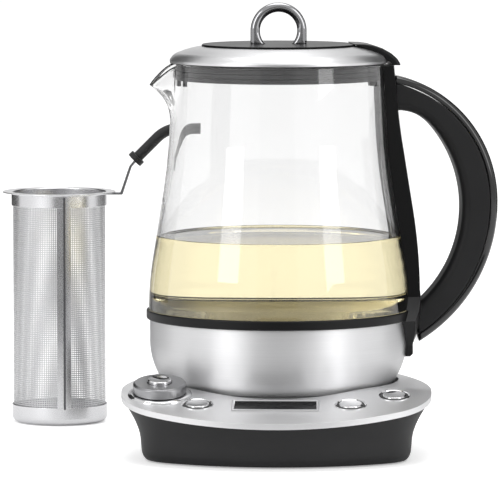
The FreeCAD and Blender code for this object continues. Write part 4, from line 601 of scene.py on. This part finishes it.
domeSize = {"radius": 59.9, "low": 213.3, "edge": 214.6, "shoulderRadius": 54.5, "shoulderHeight": 219.0,
            "shoulderArc": 8.0, "flatRadius": 43.0, "top": 222.0, "crownArc": 44.0, "hole": 8.0,
            "sheet": 0.8, "insideStep": 0.4, "insideDrop": 0.7}
discSize = {"radius": 42.3, "low": 222.02, "high": 223.2, "ease": 0.4, "drop": 0.3}
lidShadeRingSize = {"inner": 58.6, "outer": 59.8, "low": 212.8, "high": 213.25}


def makeDome():
    # pressed cap: upright edge, tight shoulder and a shallow crown up to the flat, one sheet thick
    d = domeSize
    inside, under = d["radius"] - d["sheet"], d["top"] - d["sheet"]
    lathe("lidDome", [
        (d["radius"], d["low"]), (d["radius"], d["edge"]),
        (d["shoulderRadius"], d["shoulderHeight"], d["shoulderArc"]),
        (d["flatRadius"], d["top"], d["crownArc"]), (d["hole"], d["top"]), (d["hole"], under),
        (d["flatRadius"], under),
        (d["shoulderRadius"] - d["insideStep"], d["shoulderHeight"] - d["insideDrop"],
         d["sheet"] - d["crownArc"]),
        (inside, d["edge"], d["sheet"] - d["shoulderArc"]), (inside, d["low"])],
        "domeSteel", "lid", ["lid_dome"], edge=0.25, count=256)


def makeDisc():
    d = discSize
    lathe("lidDisc", [
        (0.0, d["low"]), (d["radius"], d["low"]), (d["radius"], d["high"] - d["drop"]),
        (d["radius"] - d["ease"], d["high"]), (0.0, d["high"])],
        "discBlack", "lid", ["lid_top_disc"], edge=0.25, count=192, closed=False)


makeDome()
makeDisc()
# a thin black rubber ring between the glass rim and the dome's edge paints the shade of the gap there
lathe("lidShadeRing", washer(**lidShadeRingSize), "rubber", "lid", edge=0.1, count=192)

# the cap's upper and lower line in the handle's plane, from the disc out and down behind the dome
capSize = {
    "half": 16.0, "round": 2.2, "lowRound": 0.1, "stations": 40,
    "upper": [(40.0, 223.6), (46.0, 223.5), (50.5, 222.9), (56.0, 221.1), (60.5, 218.6), (64.0, 215.6),
              (65.7, 212.9), (65.9, 211.9)],
    "lower": [(40.4, 223.22), (45.0, 221.6), (50.5, 219.9), (55.5, 216.6), (59.0, 214.6), (60.4, 213.6),
              (60.6, 212.6), (60.6, 211.9)],
}


def makeRearCap():
    upper = resample(np.array(capSize["upper"]), capSize["stations"])
    lower = resample(np.array(capSize["lower"]), capSize["stations"])
    loops = [sectionLoop(0.0, wide, capSize["half"], capSize["lowRound"],
                         min(capSize["round"], 0.45 * wide))
             for wide in np.linalg.norm(upper - lower, axis=1)]
    return bandPiece("rearCap", lower, upper, loops, "strapPlastic", "lid", "lid_rear_cap")


makeRearCap()

ringSize = {"outer": 15.5, "hole": 10.3, "half": 2.65, "round": 2.3, "centre": 230.5, "foot": 223.2,
            "stations": 81}


def makeLidRing():
    # arch with a round hole: from the hole's edge to a half circle that stands on two short legs
    r = ringSize
    low = math.asin((r["centre"] - r["foot"]) / r["hole"])
    angle = np.linspace(-low, math.pi + low, r["stations"])
    circle = np.stack([np.cos(angle), np.sin(angle)], axis=1)
    inner, outer = r["hole"] * circle, r["outer"] * circle
    leg = np.sin(angle) < 0
    outer[leg, 0] = np.sign(outer[leg, 0]) * r["outer"]
    outer[leg, 1] = inner[leg, 1]
    centre = np.array([0.0, r["centre"]])
    loops = [sectionLoop(0.0, wide, r["half"], r["round"], r["round"])
             for wide in np.linalg.norm(outer - inner, axis=1)]
    return bandPiece("lidRing", inner + centre, outer + centre, loops, "ringChrome", "lid", "lid_ring")


makeLidRing()
print("bowl and lid made")


# Grip: the outer and the inner edge line are (x, z), with a radius where an arc leads to the point

gripSize = {
    "half": 10.5, "round": 4.6, "skin": 4.3, "gap": 0.35, "gapRound": 0.6,
    "skinStep": 0.1, "skinRound": 3.6, "skinLowRound": 0.5, "stations": 90,
    "outer": [(62.5, 205.8), (65.2, 205.8), (121.0, 135.5, -71.5), (77.5, 58.6, -88.5)],
    "inner": [(63.1, 186.6), (65.0, 186.6), (84.0, 178.3, -25.0), (77.4, 80.2, -69.3), (73.1, 80.2)],
}


def makeGrip():
    # rounded sections between the two lines, split into a core and a skin along the parting line
    g = gripSize
    outer, inner = (resample(outline(g[line], edge=0.0, closed=False), g["stations"])
                    for line in ("outer", "inner"))
    width = np.linalg.norm(outer - inner, axis=1)
    core = [sectionLoop(0.0, w - g["skin"] - g["gap"], g["half"], g["round"], g["gapRound"]) for w in width]
    skin = [sectionLoop(w - g["skin"], w, g["half"] - g["skinStep"], g["skinLowRound"], g["skinRound"])
            for w in width]
    bandPiece("gripCore", inner, outer, core, "gripPlastic", "jug", "grip_inner")
    bandPiece("gripSkin", inner, outer, skin, "glossBlack", "jug", "grip_outer")


makeGrip()
print("grip made")


# Seat pad under the bowl: a thin black rubber sheet on the plate that paints the shade under the jug, on
# the plate and in the bowl's lower reflection

seatShadePadSize = {"inner": 22.0, "outer": 65.8, "low": 34.52, "high": 34.72}
lathe("seatShadePad", washer(**seatShadePadSize), "rubber", "base", edge=0.08, count=192)


# Controls: heights are measured from the panel, square to it

knobSize = {"x": -63.0, "y": -60.0, "bore": 6.7, "hub": 7.7, "hubLow": -5.5, "radius": 14.5,
            "low": 1.7, "high": 7.2, "lowEase": 0.4, "topEase": 1.0}
knobRingSize = {"bore": 8.0, "body": 15.0, "low": -3.2, "flange": 17.4, "edge": 0.3,
                "topRadius": 15.4, "top": 1.5, "arc": 2.6}
startSize = {"radius": 6.4, "low": -4.9, "high": 9.1, "ease": 0.5, "dish": 0.9, "dishArc": 25.6}
buttonSize = {"radius": 6.4, "low": -4.6, "high": 1.1, "ease": 0.5, "dish": 0.8, "dishArc": 25.6,
              "stem": 1.8, "stemLow": -7.2}
buttonShadeRingSize = {"inner": 6.55, "outer": 7.5, "low": 0.0, "high": 0.42}
buttonSpots = {"left": (-42.0, -76.0), "right": (40.5, -76.0), "side": (64.0, -61.0)}


def makeKnob():
    k, r = knobSize, knobRingSize
    spot = onPanel(k["x"], k["y"])
    lathe("knobCap", [
        (k["bore"], k["hubLow"]), (k["hub"], k["hubLow"]), (k["hub"], k["low"]),
        (k["radius"] - k["lowEase"], k["low"]), (k["radius"], k["low"] + k["lowEase"]),
        (k["radius"], k["high"] - k["topEase"]), (k["radius"] - k["topEase"], k["high"]),
        (k["bore"], k["high"])], "knobSteel", "knob", ["knob_body"], edge=0.3, count=128, place=spot)
    lathe("knobRing", [
        (r["bore"], r["low"]), (r["body"], r["low"]), (r["body"], 0.0), (r["flange"], 0.0),
        (r["flange"], r["edge"]), (r["topRadius"], r["top"], r["arc"]), (r["bore"], r["top"])],
        "chrome", "base", ["knob_seat_ring"], edge=0.2, count=128, place=spot)


def capTop(size):
    # side, eased edge and dished top that the four push buttons share
    return [(size["radius"], size["low"]), (size["radius"], size["high"] - size["ease"]),
            (size["radius"] - size["ease"], size["high"]),
            (0.0, size["high"] - size["dish"], -size["dishArc"])]


def makeButtons():
    lathe("startCap", [(0.0, startSize["low"])] + capTop(startSize), "chrome", "start_button",
          ["start_button"], edge=0.25, count=96, place=onPanel(knobSize["x"], knobSize["y"]), closed=False)
    b = buttonSize
    stem = [(0.0, b["stemLow"]), (b["stem"], b["stemLow"]), (b["stem"], b["low"])]
    for side, spot in buttonSpots.items():
        lathe(side + "Cap", stem + capTop(b), "chrome", side + "_button", [side + "_button"], edge=0.25,
              count=96, place=onPanel(*spot), closed=False)
        # a thin black rubber ring round each cap paints the shade in the gap between the cap and its bezel
        lathe(side + "ShadeRing", washer(**buttonShadeRingSize), "rubber", "base", edge=0.1, count=96,
              place=onPanel(*spot))


makeKnob()
makeButtons()

displaySize = {"y": -78.0, "halfWidth": 23.5, "halfDepth": 8.35, "frame": 1.5, "lip": 0.3, "top": 0.8,
               "shoulder": 0.5, "low": -0.6, "skirt": -1.2, "paneInset": 1.55, "paneLow": -1.6,
               "paneHigh": -0.7}


def makeDisplay():
    # frame: one profile of (inset, height) mitred round a rectangle; pane: a sunk flat box inside it
    d = displaySize
    place = onPanel(0.0, d["y"])
    half = np.array([d["halfWidth"], d["halfDepth"]])
    signs = np.array([[-1, -1], [1, -1], [1, 1], [-1, 1]])
    inside = d["frame"] - d["lip"]
    profile = np.array([
        [0, d["low"]], [0, d["shoulder"]], [d["lip"], d["top"]], [inside, d["top"]],
        [d["frame"], d["shoulder"]], [d["frame"], d["skirt"]], [inside, d["skirt"]], [inside, d["low"]]])
    corner = signs[None] * (half - profile[:, :1])[:, None, :]
    height = np.broadcast_to(profile[:, 1][:, None, None], (len(profile), 4, 1))
    points = np.concatenate([corner, height], axis=2).reshape(-1, 3)
    makePiece("displayFrame", place(points), gridFaces(len(profile), 4, wrapRows=True), "chrome", "base",
              ["lcd_bezel"], smooth=False)
    rows = signs * (half - d["paneInset"])
    pane = np.concatenate([np.column_stack([rows, np.full(4, z)]) for z in (d["paneLow"], d["paneHigh"])])
    faces = np.array([[0, 3, 2, 1], [4, 5, 6, 7], [0, 1, 5, 4], [1, 2, 6, 5], [2, 3, 7, 6], [3, 0, 4, 7]])
    makePiece("displayPane", place(pane), faces, "display", "base", ["lcd_window"], smooth=False)


makeDisplay()
print("controls made")


# Strainer: drawn cup and rim, and a sheet of small square holes between them

strainerSize = {"x": -128.6, "y": 116.0, "radius": 27.4, "sheet": 0.6}
cupSize = {"corner": 4.0, "high": 10.4}
rimSize = {"low": 125.0, "high": 133.0, "flange": 32.4, "round": 0.8}
webSize = {"low": 9.0, "high": 126.4, "inset": 0.3, "around": 150, "rows": 106, "holeShare": 0.6}
seamShadowSize = {"low": 9.5, "high": 131.0, "rows": 30, "angle": -81.5, "across": (0.0, 0.5, 1.1),
            "lift": (0.35, 0.55, 0.35)}


def atStrainer(points):
    return points + np.array([strainerSize["x"], strainerSize["y"], 0.0])


def makeCup():
    c, radius, sheet = cupSize, strainerSize["radius"], strainerSize["sheet"]
    flat, inside = radius - c["corner"], radius - sheet
    lathe("strainerCupShell", [
        (0.0, 0.0), (flat, 0.0), (radius, c["corner"], c["corner"]), (radius, c["high"]),
        (inside, c["high"]), (inside, c["corner"]), (flat, sheet, sheet - c["corner"]), (0.0, sheet)],
        "bareSteel", "strainer", ["strainer_cup"], edge=0.2, count=128, place=atStrainer, closed=False)


def makeRim():
    # short sleeve that turns out into a flat flange
    r, radius, sheet = rimSize, strainerSize["radius"], strainerSize["sheet"]
    inside, under = radius - sheet, r["high"] - sheet
    lathe("strainerRimShell", [
        (inside, r["low"]), (radius, r["low"]), (radius, under - r["round"]),
        (radius + r["round"], under, r["round"]), (r["flange"], under), (r["flange"], r["high"]),
        (inside + r["round"], r["high"]), (inside, r["high"] - r["round"], r["round"])],
        "bareSteel", "strainer", ["strainer_rim"], edge=0.2, count=160, place=atStrainer)


def makeWeb():
    # perforated sheet rolled to a tube: each cell is four quads between its outline and a square hole
    n, m = webSize["around"], webSize["rows"]
    i, j = np.meshgrid(np.arange(m), np.arange(n), indexing="ij")
    corner = np.array([[0, 0], [1, 0], [1, 1], [0, 1]], float)
    local = np.concatenate([corner, 0.5 + webSize["holeShare"] * (corner - 0.5)])
    u = (j[..., None] + local[:, 0]) / n * 2 * math.pi
    v = (i[..., None] + local[:, 1]) / m
    radius = strainerSize["radius"] - strainerSize["sheet"] - webSize["inset"]
    z = webSize["low"] + v * (webSize["high"] - webSize["low"])
    points = np.stack([radius * np.cos(u), radius * np.sin(u), z], axis=-1).reshape(-1, 3)
    start = (np.arange(n * m) * len(local))[:, None, None]
    quads = np.array([[0, 1, 5, 4], [1, 2, 6, 5], [2, 3, 7, 6], [3, 0, 4, 7]])[None]
    return makePiece("strainerWeb", atStrainer(points), (start + quads).reshape(-1, 4), "meshSteel",
                     "strainer", ["strainer_mesh"], closed=False, weighted=False)


def makeSeamShadow():
    # painted shadow of the seam's folded edge: a narrow strip up the sheet, raised along its middle, in
    # darker steel that stands in for the shadow line beside the fold
    s = seamShadowSize
    z = np.linspace(s["low"], s["high"], s["rows"])
    angle = math.radians(s["angle"]) + np.array(s["across"]) / strainerSize["radius"]
    radius = strainerSize["radius"] + np.array(s["lift"])
    shape = (s["rows"], len(angle))
    grid = np.stack([np.broadcast_to(radius * np.cos(angle), shape),
                     np.broadcast_to(radius * np.sin(angle), shape),
                     np.broadcast_to(z[:, None], shape)], axis=-1)
    return makePiece("seamShadowEdge", atStrainer(grid.reshape(-1, 3)), gridFaces(*shape, wrapColumns=False),
                     "seamShadowSteel", "strainer", closed=False)


makeCup()
makeRim()
makeWeb()
makeSeamShadow()
print("strainer made")


# Other nodes: these keep their own form, shaded round, with their edges eased by so many millimetres

bevels = {"base_top_plate": 0.35, "base_housing": 0.0, "handle_strap": 1.2, "button_bezels": 0.0,
          "strainer_handle_strip": 0.3, "lid_collar": 0.2, "strainer_seam": 0.0, "strainer_grip": 0.0}
for name, bevel in bevels.items():
    smoothCopy(name, nodeFinish[name], bevel=bevel)
for name, node in frame["nodes"].items():
    node.data.materials.clear()
    node.data.materials.append(finishes[nodeFinish[name]])
print("nodes dressed")


# Studio: floor and surround are white to the camera and through the glass, and dimmer in reflections;
# its places and sizes are in metres

studio = {"floorHalf": 6.0, "floorDrop": 0.0002, "floorGlow": 0.36, "surround": 1.04,
          "reflectedLoss": 0.24, "lampAim": (0, 0, 0.1)}


def setGlow(tree, socket, direct, reflected):
    # strength of a glow, as most rays see it and as reflections see it
    rays = addNode(tree, "ShaderNodeLightPath")
    seen = addNode(tree, "ShaderNodeMath", {"operation": "MULTIPLY_ADD"}, {
        0: rays.outputs["Is Reflection Ray"], 1: reflected - direct, 2: direct})
    tree.links.new(seen.outputs[0], socket)


half, level = studio["floorHalf"], -studio["floorDrop"]
floorMesh = bpy.data.meshes.new("floor")
floorMesh.from_pydata([(i * half, j * half, level) for i, j in ((-1, -1), (1, -1), (1, 1), (-1, 1))],
                      [], [(0, 1, 2, 3)])
floor = addObject("floor", floorMesh)
floorMaterial, floorTree, floorShader = startMaterial("white card")
setInputs(floorTree, floorShader, {
    "Base Color": linear("fbfbfb"), "Roughness": 0.6, "Specular IOR Level": 0.2,
    "Emission Color": (1, 1, 1, 1)})
setGlow(floorTree, floorShader.inputs["Emission Strength"], studio["floorGlow"], 0.0)
floorMesh.materials.append(floorMaterial)

world = bpy.data.worlds.new("studio")
bpy.context.scene.world = world
world.use_nodes = True
surround = world.node_tree.nodes["Background"]
surround.inputs["Color"].default_value = (1, 1, 1, 1)
setGlow(world.node_tree, surround.inputs["Strength"], studio["surround"],
        studio["surround"] - studio["reflectedLoss"])

# each lamp is (name, place, width, height, watts)
lamps = (
    ("keyLamp", (-1.25, -1.25, 0.95), 0.7, 1.4, 9.0),
    ("fillLamp", (1.35, -1.0, 0.85), 0.6, 1.3, 6.5),
    ("topLamp", (0.1, 0.1, 1.65), 1.3, 1.0, 11.0),
)
for name, place, width, height, watts in lamps:
    data = bpy.data.lights.new(name, "AREA")
    data.shape = "RECTANGLE"
    data.size = width
    data.size_y = height
    data.energy = watts
    lamp = addObject(name, data)
    lamp.location = place
    lamp.rotation_euler = (Vector(studio["lampAim"]) - Vector(place)).to_track_quat("-Z", "Y").to_euler()

# black and grey cards round the set, seen only in reflections, give the metal its edges;
# each is (name, middle, turn about Z, lean back, width, height, finish), with angles in degrees
cards = (
    ("cardLeft", (-0.78, 0.82, 0.5), 43.6, 0, 1.05, 1.5, "black card"),
    ("cardRight", (0.78, 0.82, 0.5), -43.6, 0, 1.05, 1.5, "black card"),
    ("cardFront", (0.0, -2.3, 0.35), 0, 0, 1.5, 1.1, "grey card"),
    ("cardLow", (0.05, -0.75, 0.004), 0, 90, 0.7, 1.1, "black card"),
)
cardFinish = {}
for name, hexText in (("black card", "181818"), ("grey card", "9a9a9a")):
    cardFinish[name], cardTree, cardShader = startMaterial(name)
    setInputs(cardTree, cardShader, {"Base Color": linear(hexText), "Roughness": 0.9})
for name, middle, turn, lean, width, height, finish in cards:
    mesh = bpy.data.meshes.new(name)
    placeCard = (Matrix.Translation(middle) @ Matrix.Rotation(math.radians(turn), 4, "Z")
                 @ Matrix.Rotation(math.radians(lean), 4, "X"))
    corners = [placeCard @ Vector((i * width / 2, 0, j * height / 2))
               for i, j in ((-1, -1), (1, -1), (1, 1), (-1, 1))]
    mesh.from_pydata([tuple(corner) for corner in corners], [], [(0, 1, 2, 3)])
    mesh.materials.append(cardFinish[finish])
    card = addObject(name, mesh)
    card.visible_camera = False
    card.visible_diffuse = False
    card.visible_shadow = False
    card.visible_transmission = False

print("scene ready")
